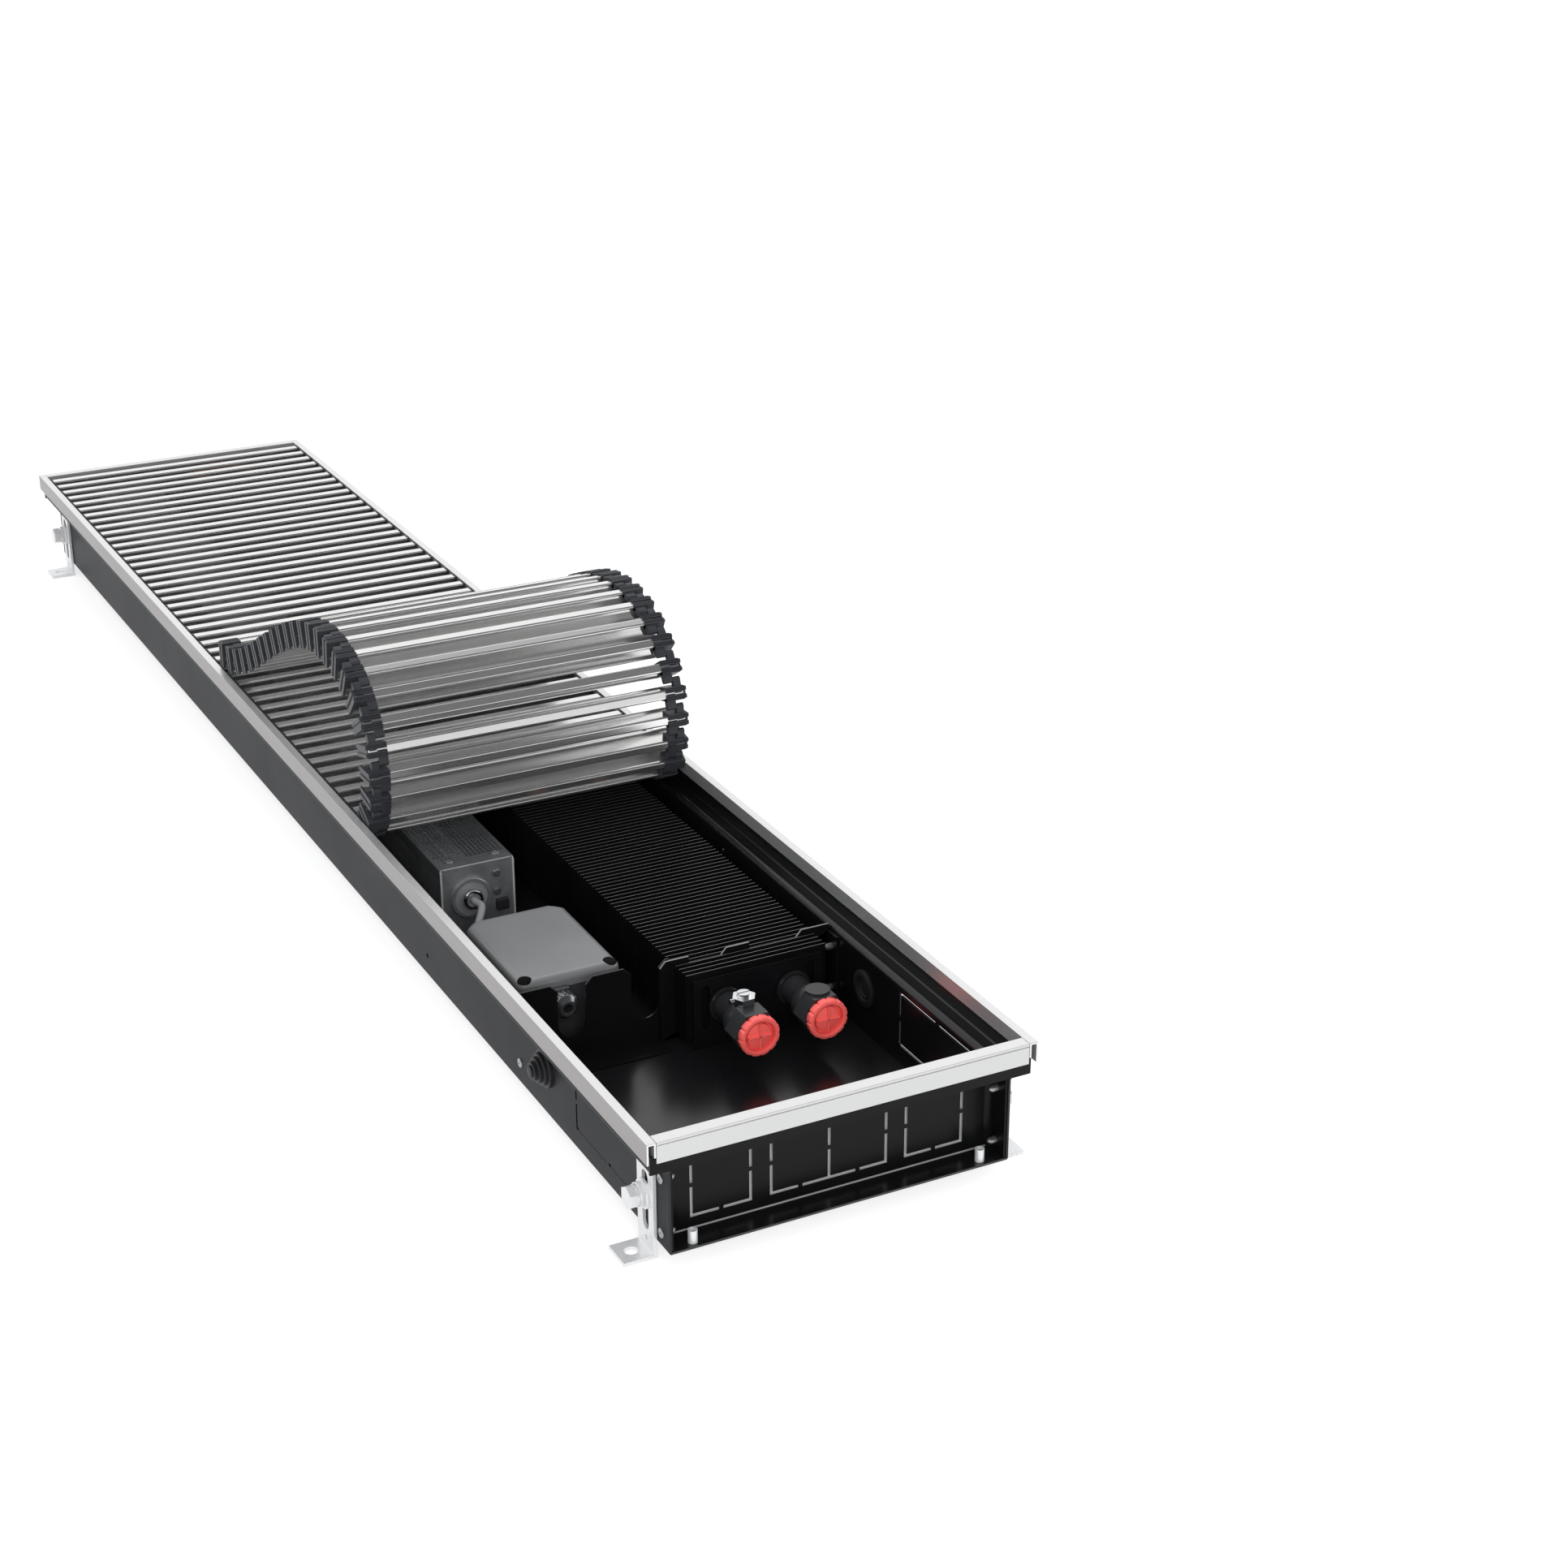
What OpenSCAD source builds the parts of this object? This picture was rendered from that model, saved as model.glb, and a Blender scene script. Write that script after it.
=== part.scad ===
// Trench convector heater for a floor duct, with a roll-up grille drawn as half rolled up.
// X runs across the duct, Y along it with the connection end at -Y, and Z up.
// The origin is on the floor under the middle of the duct. All sizes are in millimetres.

/* [Overall] */
// Length of the surround frame
frame_len = 1412; // [1000:1:2400]
// Width over the surround frame
frame_w = 262; // [240:1:320]
// Height of the casing, from its underside to the top of the frame
casing_h = 81.5; // [78:0.5:110]
// Height of the casing's underside above the floor
foot_drop = 11; // [9:0.5:16]

/* [Frame profiles] */
// Width of the long side profiles, seen from above
side_profile_w = 6; // [5.6:0.1:8]
// Width of the short end profiles, seen from above
end_profile_w = 9; // [7.6:0.1:12]
// Height of the profiles' outer leg
profile_h = 14; // [12:0.5:18]
// Height of the profiles' inner leg
profile_inner_h = 10; // [6:0.5:14]
// Wall thickness of the profiles
profile_t = 1.3; // [1:0.1:1.4]
// Gap between an end profile and the side profile beside it
profile_gap = 0.3; // [0.2:0.1:1]

/* [Casing] */
// Thickness of the sheet steel
sheet = 1.5; // [1:0.1:1.8]
// Distance from the frame's outer face to the casing's side wall
ledge_reach = 15.5; // [14:0.5:18]
// Distance from the frame's outer face to the upright edge that carries it
upstand_inset = 3; // [2.6:0.1:3.4]
// Distance of the casing's front edge behind the frame's end face
casing_setback = 5.2; // [5:0.1:7]
// Distance of the end plate behind the frame's end face
end_recess = 24; // [20:0.5:28]
// Outer radius of the end plates' upright bends
end_bend_r = 6; // [4:0.5:8]

/* [Knock-outs] */
// Width of the punched slits
slit_w = 1.8; // [1.2:0.1:2.4]
// Width of the bridges that hold a knock-out
bridge_w = 3; // [2:0.5:5]
// Height of a window in the end plate
window_h = 44; // [36:1:46]
// Depth of the windows' top edge below the frame's top
window_top = 28.5; // [27:0.5:31]
// Length of the knock-out in a side wall
side_window_len = 94; // [70:1:100]
// Height of the knock-out in a side wall
side_window_h = 39; // [30:1:44]
// Distance of the side knock-out's middle from the frame's end face
side_window_y = 92.5; // [85:0.5:100]

/* [Grille] */
// Least distance from the frame's end face to the middle of the first slat
grille_end_room = 22.5; // [21:0.5:30]
// Distance between slats
slat_pitch = 19.8; // [19.5:0.1:20]
// Height of the aluminium slat profile
slat_h = 19; // [17:0.5:19.5]
// Width of the slat's top
slat_top_w = 8.6; // [7:0.1:9]
// Width of the slat's bottom flange
slat_foot_w = 7; // [5:0.1:7.6]
// Width of the slat's web
slat_web_w = 2.6; // [2:0.1:3.4]
// Gap between a slat's end cap and the side profile
slat_end_gap = 0.8; // [0.4:0.1:2]
// Depth of the slats' top below the frame's top
slat_drop = 0.5; // [0.3:0.1:1]
// Clearance between the end caps and the ledge that carries them
seat_gap = 0.3; // [0.2:0.1:0.5]

/* [End caps and links] */
// Height of an end cap
cap_h = 20.5; // [20:0.1:21]
// Thickness of the cap's end plate
cap_plate_t = 1.6; // [1.2:0.1:2.5]
// Length of the cap's foot under the slat
cap_foot_len = 16; // [14:0.5:18]
// Height of the cap's foot
cap_foot_h = 11.5; // [9:0.5:13]
// Width of the cap's end plate along the grille
cap_plate_w = 9; // [7:0.1:9.4]
// Width of the cap's foot along the grille
cap_foot_w = 13; // [10:0.5:13.5]
// Height of the link pins above the caps' underside
pin_h = 3.5; // [3.2:0.1:4]
// Radius of the link pins
pin_r = 1.2; // [1:0.1:1.4]
// Radius of the links' round ends
link_r = 2.4; // [2:0.1:2.8]
// Running clearance of the link pins in their bores
pin_gap = 0.05; // [0.03:0.01:0.1]

/* [Feet] */
// Width of a foot bracket
foot_w = 22; // [20:0.5:26]
// Thickness of a foot bracket
foot_t = 2.5; // [2:0.1:3]
// Reach of the foot plate beyond the casing's wall
foot_reach = 22; // [20:0.5:30]
// Distance of a foot's middle from the frame's end face
foot_y = 32.5; // [32:0.5:60]
// Depth of the bracket's top below the frame's top
foot_top = 34; // [32:0.5:38]
// Width of the bracket's slot
foot_slot_w = 8.4; // [8.2:0.1:9]
// Depth of the slot's upper end below the frame's top
foot_slot_top = 37.5; // [36:0.5:40]
// Height of the slot's lower end above the floor
foot_slot_bottom = 15; // [13:0.5:17]
// Radius of the hole in the foot plate
foot_hole_r = 4.2; // [3:0.1:5]
// Radius of the clamping bolts
bolt_r = 4; // [3.5:0.1:4]
// Depth of the clamping bolts below the frame's top
bolt_depth = 53; // [51:0.5:55]

/* [Heat exchanger] */
// Room behind the last fin, to the frame's far end face
fin_end_room = 80; // [76:0.5:200]
// Distance between fins
fin_pitch = 5.2; // [4.5:0.1:5.2]
// Thickness of a fin
fin_t = 0.5; // [0.3:0.05:0.8]
// Height of the fin block
fin_h = 50; // [44:0.5:51]
// Depth of the fins' top below the frame's top
fin_top = 25; // [24:0.5:27]
// Distance of the first fin from the frame's end face
fin_y = 218; // [214:0.5:240]
// Outer radius of the copper tube
tube_r = 8; // [6:0.1:8.5]
// Wall thickness of the copper tube
tube_wall = 1; // [0.8:0.1:1.5]
// Clearance of the tube in its fins
tube_gap = 0.05; // [0.03:0.01:0.1]

/* [Connectors] */
// Across flats of the hexagon on a connector
union_hex = 28; // [26:0.5:30]
// Length of the hexagon
union_hex_len = 15; // [12:0.5:18]
// Radius of the connector's neck
union_neck_r = 10; // [9.2:0.1:11]
// Distance of the connector's open end from the frame's end face
union_y = 168; // [160:0.5:170]
// Radius of the connector's bore
union_bore_r = 9.2; // [8.6:0.1:9.5]
// Radius of a transport cap's rim
cap_rim_r = 14.2; // [13:0.1:15]
// Thickness of a transport cap's rim
cap_rim_t = 5.5; // [4:0.5:8]
// Travel that frees a transport cap from its connector
cap_travel = 20; // [16:1:40]

/* [Fan] */
// Depth of the fan guard's top below the frame's top
fan_top = 24.5; // [24:0.5:26]
// Distance of the fan housing from the frame's end face
fan_y = 441; // [436:1:460]
// Room behind the fan housing, to the frame's far end face
fan_end_room = 71; // [60:1:400]
// Thickness of the fan housing's sheet
fan_sheet = 1.2; // [1:0.1:1.5]
// Number of blades on the fan drum
blade_count = 24; // [16:1:30]

/* [Junction box] */
// Length of the junction box lid
lid_len = 103; // [90:1:108]
// Height of the lid
lid_h = 9; // [7:0.5:12]
// Depth of the lid's top below the frame's top
lid_top = 28; // [27:0.5:30]
// Distance of the lid from the frame's end face
lid_y = 262; // [260:1:268]
// Wall thickness of the junction box
box_wall = 2.5; // [2:0.1:3]
// Distance of the mounting plate from the frame's end face
plate_y = 240; // [238:1:242]
// Width of the notch for the cable gland
notch_w = 20; // [20:0.5:22]
// Depth of the cable gland below the frame's top
gland_depth = 45; // [43:0.5:48]

/* [Grommets and rivets] */
// Radius of the wall grommets
grommet_r = 13; // [11:0.5:14]
// Height of the grommet's stepped cone
grommet_cone_h = 10; // [6:0.5:14]
// Distance of the grommets from the frame's end face
grommet_y = 187; // [180:1:195]
// Depth of the grommets below the frame's top
grommet_depth = 48; // [44:0.5:52]
// Radius of a rivet's head
rivet_r = 3.3; // [2.6:0.1:4]
// Radius of a rivet's shank
rivet_shank_r = 1.6; // [1.2:0.1:2]

/* [Hidden] */
roll_count = 25;
roll_end_count = 13;
function slat_name(k) = str("roll_slat_", k);
ROLL_NODES = [for (k = [roll_end_count + 1:roll_count]) slat_name(k)];
$fn = 48;

// One overrun for every cut, and the small clearance between pieces that only rest on each other
over = 1;
rest_gap = 0.3;
front = -frame_len / 2;
frame_top = foot_drop + casing_h;
wall_x = frame_w / 2 - ledge_reach;
wall_in = wall_x - sheet;
floor_top = foot_drop + sheet;
upstand_x = frame_w / 2 - upstand_inset;
ledge_top = frame_top - slat_drop - cap_h - seat_gap;
upstand_top = frame_top - profile_t - rest_gap;
grommet_hole_r = grommet_r - 2 * sheet;

// Shares of the width between the side walls, from the fan's side to the exchanger's side
fan_gap_share = 0.114;
fan_share = 0.2456;
lid_gap_share = 0.0548;
lid_share = 0.3202;
fin_share = 0.4544;
fin_gap_share = 0.0553;
window_share = 0.1798;
fan_w = fan_share * 2 * wall_in;
fan_x = fan_gap_share * 2 * wall_in + fan_w / 2 - wall_in;
lid_w = lid_share * 2 * wall_in;
lid_x = lid_gap_share * 2 * wall_in + lid_w / 2 - wall_in;
fin_w = fin_share * 2 * wall_in;
fin_x = wall_in - fin_gap_share * 2 * wall_in - fin_w / 2;
window_w = window_share * 2 * wall_in;

// Counts and lengths that follow from the frame's length
slat_len = frame_w - 2 * (side_profile_w + slat_end_gap);
slat_count = floor((frame_len - 2 * grille_end_room) / slat_pitch) + 1;
fin_count = floor((frame_len - fin_y - fin_end_room) / fin_pitch);
fan_len = frame_len - fan_y - fan_end_room;

// Turns of the rolled grille at each link, in degrees, from the flat part out to the free end
roll_turns = [30, 30, 20, 12, 14, 16, 16, 15, 11, 9, 8, 8, 7, 5, 3, 2, 1, 1, 1, -1, -1, -4, -4, -9, -7];
first_slat_y = front + (frame_len - (slat_count - 1) * slat_pitch) / 2;
pin_z = ledge_top + seat_gap + pin_h;
function slat_y(k) = first_slat_y + (k - 1) * slat_pitch;
// Slope of rolled slat k, and the place of the link behind it
function roll_angle(k) = k > roll_count ? 0 : roll_turns[roll_count - k] + roll_angle(k + 1);
function link_place(k) = k == roll_count
    ? [slat_y(k) + slat_pitch / 2, pin_z]
    : link_place(k + 1) + slat_pitch * [-cos(roll_angle(k + 1)), sin(roll_angle(k + 1))];

// A plate that stands across the duct, from a drawing in X and Z, with its front face at y
module across(y, t) {
    translate([0, y + t, 0]) rotate([90, 0, 0]) linear_extrude(t) children();
}

// A rectangle from its lowest corner to its highest corner
module area(x0, y0, x1, y1) {
    translate([x0, y0]) square([x1 - x0, y1 - y0]);
}

// A block from its lowest corner to its highest corner
module block(a, b) {
    translate(a) cube(b - a);
}

// The same piece on both long sides of the duct
module both_sides() {
    children();
    mirror([1, 0, 0]) children();
}

// A pin along X from one place to another
module x_pin(x0, x1, y, z, r) {
    translate([x0, y, z]) rotate([0, 90, 0]) cylinder(h = x1 - x0, r = r);
}

// A pin along Y from one place to another
module y_pin(x, y0, y1, z, r) {
    translate([x, y1, z]) rotate([90, 0, 0]) cylinder(h = y1 - y0, r = r);
}

// A hexagonal prism along Y, with a flat on top
module y_hex(x, y0, y1, z, flats) {
    translate([x, y1, z]) rotate([90, 0, 0]) cylinder(h = y1 - y0, d = flats / cos(30), $fn = 6);
}

// The slits of one knock-out, drawn flat, with a bridge in the middle of each side
module knock_out(w, h) {
    difference() {
        area(-w / 2, -h / 2, w / 2, h / 2);
        area(slit_w - w / 2, slit_w - h / 2, w / 2 - slit_w, h / 2 - slit_w);
        area(-bridge_w / 2, -h, bridge_w / 2, h);
        area(-w, -bridge_w / 2, w, bridge_w / 2);
    }
}

// A rectangle with round corners, about the origin
module round_area(w, l, r) {
    area(r - w / 2, -l / 2, w / 2 - r, l / 2);
    area(-w / 2, r - l / 2, w / 2, l / 2 - r);
    for (x = [r - w / 2, w / 2 - r], y = [r - l / 2, l / 2 - r]) translate([x, y]) circle(r);
}

// A slot with round ends, upright, from the middle of its lower end to that of its upper end
module slot_area(r, z0, z1) {
    area(-r, z0, r, z1);
    for (z = [z0, z1]) translate([0, z]) circle(r);
}

// Casing: a floor sheet welded between two walls, each folded out to a ledge and an upright edge
bend_r = 3;
edge_bend_r = 1.5;
side_window_depth = 47.5;
rivet_depths_end = [35, 72];
rivet_depths_plate = [35, 66];
end_rivet_y = 16;
spare_hole_y = 398;
spare_hole_depths = [34.5, 65.5];
spare_hole_r = 1.7;
set_screw_inset = 16;
set_screw_x = wall_in - set_screw_inset;
set_screw_y = 10.5;
set_screw_r = 3;
set_screw_len = 10;
set_screw_socket = 3;

// What is cut from the corner at x and z so that it is round; dx and dz point into the metal
module corner_cut(x, z, dx, dz, r) {
    difference() {
        area(min(x - dx * over, x + dx * r), min(z - dz * over, z + dz * r),
            max(x - dx * over, x + dx * r), max(z - dz * over, z + dz * r));
        translate([x + dx * r, z + dz * r]) circle(r);
    }
}

module wall_profile() {
    difference() {
        union() {
            area(wall_in, foot_drop, wall_x, ledge_top);
            area(wall_in, ledge_top - sheet, upstand_x, ledge_top);
            area(upstand_x - sheet, ledge_top - sheet, upstand_x, upstand_top);
            difference() {
                area(wall_x - sheet / 2, ledge_top - sheet - bend_r, wall_x + bend_r, ledge_top - sheet / 2);
                translate([wall_x + bend_r, ledge_top - sheet - bend_r]) circle(bend_r);
            }
            difference() {
                area(upstand_x - sheet - edge_bend_r, ledge_top - sheet / 2,
                    upstand_x - sheet / 2, ledge_top + edge_bend_r);
                translate([upstand_x - sheet - edge_bend_r, ledge_top + edge_bend_r]) circle(edge_bend_r);
            }
        }
        corner_cut(wall_x, foot_drop, -1, 1, sheet);
        corner_cut(wall_in, ledge_top, 1, -1, bend_r + sheet);
        corner_cut(upstand_x, ledge_top - sheet, -1, 1, edge_bend_r + sheet);
    }
}

// Rivet places on one wall, as distance from the frame's end face and height
plate_flange = 20;
brace_flange = 13;
front_brace_y = fin_y + 3.5 * fin_pitch;
rear_brace_y = fin_y + (fin_count - 4.5) * fin_pitch;
end_rivets = [for (y = [end_rivet_y, frame_len - end_rivet_y], d = rivet_depths_end) [y, frame_top - d]];
left_rivets = concat(end_rivets, [for (d = rivet_depths_plate) [plate_y - plate_flange / 2, frame_top - d]]);
right_rivets = concat(end_rivets, [for (y = [front_brace_y, rear_brace_y], d = rivet_depths_plate)
    [y - brace_flange / 2, frame_top - d]]);

module casing_floor() {
    color("#3a3c3f") difference() {
        across(front + casing_setback, frame_len - 2 * casing_setback)
            area(-wall_in, foot_drop, wall_in, floor_top);
        both_sides() for (y = [set_screw_y, frame_len - set_screw_y])
            translate([set_screw_x, front + y, foot_drop - over])
                cylinder(h = sheet + 2 * over, r = set_screw_r + pin_gap);
    }
}

// One stretch of the folded side sheet between two distances from the middle: wall, ledge or upstand
ledge_x0 = wall_x + bend_r;
ledge_x1 = upstand_x - sheet - edge_bend_r;

module side_sheet(x0, x1) {
    color("#3a3c3f") across(front + casing_setback, frame_len - 2 * casing_setback) intersection() {
        wall_profile();
        area(x0, foot_drop - over, x1, frame_top);
    }
}

module casing_wall(rivets) {
    color("#3a3c3f") difference() {
        side_sheet(wall_in - over, ledge_x0);
        translate([wall_in - over, front + side_window_y, frame_top - side_window_depth])
            rotate([90, 0, 90]) linear_extrude(sheet + 2 * over) knock_out(side_window_len, side_window_h);
        x_pin(wall_in - over, wall_x + over, front + grommet_y, frame_top - grommet_depth, grommet_hole_r);
        for (y = [foot_y, frame_len - foot_y])
            x_pin(wall_in - over, wall_x + over, front + y, frame_top - bolt_depth, bolt_r + pin_gap);
        for (d = spare_hole_depths)
            x_pin(wall_in - over, wall_x + over, front + spare_hole_y, frame_top - d, spare_hole_r);
        for (p = rivets)
            x_pin(wall_in - over, wall_x + over, front + p[0], p[1], rivet_shank_r + pin_gap);
    }
}

// End plates: a face set back from the frame, side flanges riveted to the walls, a ledge and an upright edge
module end_plate(windows) {
    in = wall_in - pin_gap;
    flange_y = front + casing_setback + sheet / 2;
    edge_x = frame_w / 2 - side_profile_w - rest_gap;
    difference() {
        union() {
            translate([0, 0, floor_top]) linear_extrude(ledge_top - floor_top) {
                area(end_bend_r - in, front + end_recess, in - end_bend_r, front + end_recess + sheet);
                both_sides() {
                    area(in - sheet, flange_y, in, front + end_recess + sheet - end_bend_r);
                    intersection() {
                        translate([in - end_bend_r, front + end_recess + sheet - end_bend_r]) difference() {
                            circle(end_bend_r);
                            circle(end_bend_r - sheet);
                        }
                        translate([in - end_bend_r, front + end_recess + sheet - end_bend_r])
                            area(0, 0, end_bend_r, end_bend_r);
                    }
                }
            }
            block([-in, front + upstand_inset + sheet, ledge_top - sheet],
                [in, front + end_recess + sheet, ledge_top]);
            translate([0, front + upstand_inset + sheet, 0]) rotate([90, 0, 0]) linear_extrude(sheet) {
                area(-upstand_x, ledge_top - sheet, upstand_x, frame_top - profile_inner_h - rest_gap);
                area(-edge_x, ledge_top - sheet, edge_x, upstand_top);
            }
        }
        both_sides() for (d = rivet_depths_end)
            x_pin(wall_in - end_bend_r, wall_x, front + end_rivet_y, frame_top - d, rivet_shank_r + pin_gap);
        if (windows) for (x = window_places)
            translate([x, 0, frame_top - window_top - window_h / 2])
                across(front + end_recess - over, sheet + 2 * over) knock_out(window_w, window_h);
    }
}

// The windows stand as one single, one pair with a shared slit, and one single
window_gap = 12;
window_places = [-1.5, -0.5, 0.5, 1.5] * (window_w - slit_w)
    + [-1, 0, 0, 1] * (window_gap + slit_w);

module front_end_plate() {
    color("#2b2c2e") end_plate(true);
}

module rear_end_plate() {
    color("#2b2c2e") mirror([0, 1, 0]) end_plate(false);
}

// Surround frame: hollow profiles, open below, that sit over the casing's upright edges
module profile_area(w) {
    area(0, frame_top - profile_t, w, frame_top);
    area(0, frame_top - profile_h, profile_t, frame_top);
    area(w - profile_t, frame_top - profile_inner_h, w, frame_top);
}

module side_profile() {
    color("#c9cacc") translate([-frame_w / 2, 0, 0]) across(front, frame_len) profile_area(side_profile_w);
}

module end_profile() {
    across_w = frame_w - 2 * (side_profile_w + profile_gap);
    color("#d4d5d7") translate([-across_w / 2, front, 0])
        rotate([90, 0, 90]) linear_extrude(across_w) profile_area(end_profile_w);
}

// Slats: an aluminium profile with a flat top, a hollowed web and a foot flange
slat_edge_r = 0.8;
slat_flange_t = 1.6;
slat_top_hollow = 8;
slat_foot_hollow = 4.5;

function slat_half_outline() = concat(
    [for (a = [90:-30:0]) [slat_top_w / 2 + slat_edge_r * (cos(a) - 1), slat_edge_r * (sin(a) - 1)]],
    [for (a = [90:15:180]) [slat_top_w / 2 + (slat_top_w - slat_web_w) / 2 * cos(a),
        slat_top_hollow * (sin(a) - 1) - slat_flange_t]],
    [for (a = [180:18:270]) [slat_foot_w / 2 + (slat_foot_w - slat_web_w) / 2 * cos(a),
        slat_foot_hollow * (sin(a) + 1) + slat_flange_t - slat_h]],
    [[slat_foot_w / 2, -slat_h]]);

module slat_bar() {
    half = slat_half_outline();
    bar_half = slat_len / 2 - cap_plate_t;
    foot_depth = cap_h - cap_foot_h;
    difference() {
        translate([-bar_half, 0, 0]) rotate([90, 0, 90]) linear_extrude(2 * bar_half)
            polygon(concat(half, [for (i = [len(half) - 1:-1:0]) [-half[i][0], half[i][1]]]));
        both_sides() block([slat_len / 2 - cap_foot_len, -slat_top_w, -slat_h - over],
            [slat_len / 2, slat_top_w, -foot_depth]);
    }
}

// End caps: rubber, with a plate over the slat's end, a foot below it and links to the next slats
cap_bevel = 1.4;
cap_groove_w = 1.6;
cap_groove_t = 1;
cap_groove_shares = [-0.19, 0.19];
link_gap = 0.2;
link_t = (cap_foot_len - cap_plate_t) / 2 - link_gap;

module cap_block(x0, x1, top, w) {
    translate([x0, 0, 0]) rotate([90, 0, 90]) linear_extrude(x1 - x0) polygon([
        [-w / 2, top], [-w / 2, cap_bevel - cap_h], [cap_bevel - w / 2, -cap_h],
        [w / 2 - cap_bevel, -cap_h], [w / 2, cap_bevel - cap_h], [w / 2, top]]);
}

module link_bar(x0, y1) {
    translate([x0, 0, pin_h - cap_h]) rotate([90, 0, 90]) linear_extrude(link_t) {
        area(min(0, y1), -link_r, max(0, y1), link_r);
        translate([y1, 0]) circle(link_r);
    }
}

module end_cap(front_link, rear_link) {
    foot_x = slat_len / 2 - cap_foot_len;
    bore_x = foot_x + link_t + link_gap;
    difference() {
        union() {
            cap_block(slat_len / 2 - cap_plate_t, slat_len / 2, 0, cap_plate_w);
            difference() {
                cap_block(foot_x, slat_len / 2 - cap_plate_t, cap_foot_h - cap_h, cap_foot_w);
                for (s = cap_groove_shares)
                    block([foot_x - over, s * cap_foot_w - cap_groove_w / 2, -cap_h - over],
                        [slat_len / 2, s * cap_foot_w + cap_groove_w / 2, cap_groove_t - cap_h]);
            }
            if (rear_link) {
                link_bar(foot_x, slat_pitch / 2);
                x_pin(foot_x + link_t / 2, bore_x + link_t, slat_pitch / 2, pin_h - cap_h, pin_r);
            }
            if (front_link) link_bar(bore_x, -slat_pitch / 2);
        }
        x_pin(bore_x - over, bore_x + link_t + over, -slat_pitch / 2, pin_h - cap_h, pin_r + pin_gap);
    }
}

module end_caps(k) {
    color("#3c3e42") both_sides() end_cap(k > 1, k < slat_count);
}

module fixed_slats() {
    color("#d8d9da") for (k = [roll_count + 1:slat_count])
        translate([0, slat_y(k), frame_top - slat_drop]) slat_bar();
}

module fixed_slat_caps() {
    for (k = [roll_count + 1:slat_count]) translate([0, slat_y(k), frame_top - slat_drop]) end_caps(k);
}

// Puts its children at the place of rolled slat k
module rolled(k) {
    translate(concat([0], link_place(k))) rotate([-roll_angle(k), 0, 0])
        translate([0, -slat_pitch / 2, cap_h - pin_h]) children();
}

module roll_slat(k) {
    rolled(k) {
        color("#d8d9da") slat_bar();
        end_caps(k);
    }
}

// The free end of the roll keeps its slight set, so its slats are one body
module roll_end_slats() {
    color("#d8d9da") for (k = [1:roll_end_count]) rolled(k) slat_bar();
}

module roll_end_caps() {
    for (k = [1:roll_end_count]) rolled(k) end_caps(k);
}

// Rivets through the walls: a flat head outside and a rounded tail inside
rivet_head_t = 1;
rivet_tail_r = 2.4;
rivet_tail_len = 3;

module wall_rivet(side, y, z) {
    tail = wall_in - sheet - pin_gap;
    mirror([side, 0, 0]) translate([0, front + y, z]) {
        x_pin(wall_x, wall_x + rivet_head_t, 0, 0, rivet_r);
        x_pin(tail, wall_x, 0, 0, rivet_shank_r);
        x_pin(tail - rivet_tail_len, tail, 0, 0, rivet_tail_r);
    }
}

module wall_rivets() {
    color("#b4b6b8") {
        for (p = left_rivets) wall_rivet(1, p[0], p[1]);
        for (p = right_rivets) wall_rivet(0, p[0], p[1]);
    }
}

// Levelling feet: slotted angle brackets clamped to the walls, each free to slide up and down on its bolt
foot_gap = 0.2;
foot_x = wall_x + foot_gap;
foot_corner_r = 2;
foot_vent_r = 1.6;
foot_vent_z = 9;

module foot() {
    top = frame_top - foot_top;
    slot_r = foot_slot_w / 2;
    difference() {
        union() {
            translate([foot_x, 0, 0]) rotate([90, 0, 90]) linear_extrude(foot_t) {
                area(-foot_w / 2, 0, foot_w / 2, top - foot_corner_r);
                area(foot_corner_r - foot_w / 2, 0, foot_w / 2 - foot_corner_r, top);
                for (y = [foot_corner_r - foot_w / 2, foot_w / 2 - foot_corner_r])
                    translate([y, top - foot_corner_r]) circle(foot_corner_r);
            }
            block([foot_x, -foot_w / 2, 0], [foot_x + foot_reach, foot_w / 2, foot_t]);
        }
        translate([foot_x - over, 0, 0]) rotate([90, 0, 90]) linear_extrude(foot_t + 2 * over) {
            slot_area(slot_r, foot_slot_bottom + slot_r, frame_top - foot_slot_top - slot_r);
            translate([0, foot_vent_z]) circle(foot_vent_r);
        }
        translate([foot_x + (foot_t + foot_reach) / 2, 0, -over])
            cylinder(h = foot_t + 2 * over, r = foot_hole_r);
    }
}

module foot_at(side, y) {
    color("#c7cacd") mirror([side, 0, 0]) translate([0, front + y, 0]) foot();
}

// Clamping bolts: a rivet nut in the wall, a bolt through the bracket's slot, and its washers and nut
big_washer_r = 9.5;
big_washer_t = 1.8;
lock_nut_flats = 15;
lock_nut_t = 3;
lock_washer_r = 7;
lock_washer_t = 2;
bolt_head_flats = 13;
bolt_head_t = 5.3;
rivet_nut_r = 6;
rivet_nut_len = 7;

module x_hex(x0, x1, flats) {
    translate([x0, 0, 0]) rotate([0, 90, 0]) cylinder(h = x1 - x0, d = flats / cos(30), $fn = 6);
}

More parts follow.
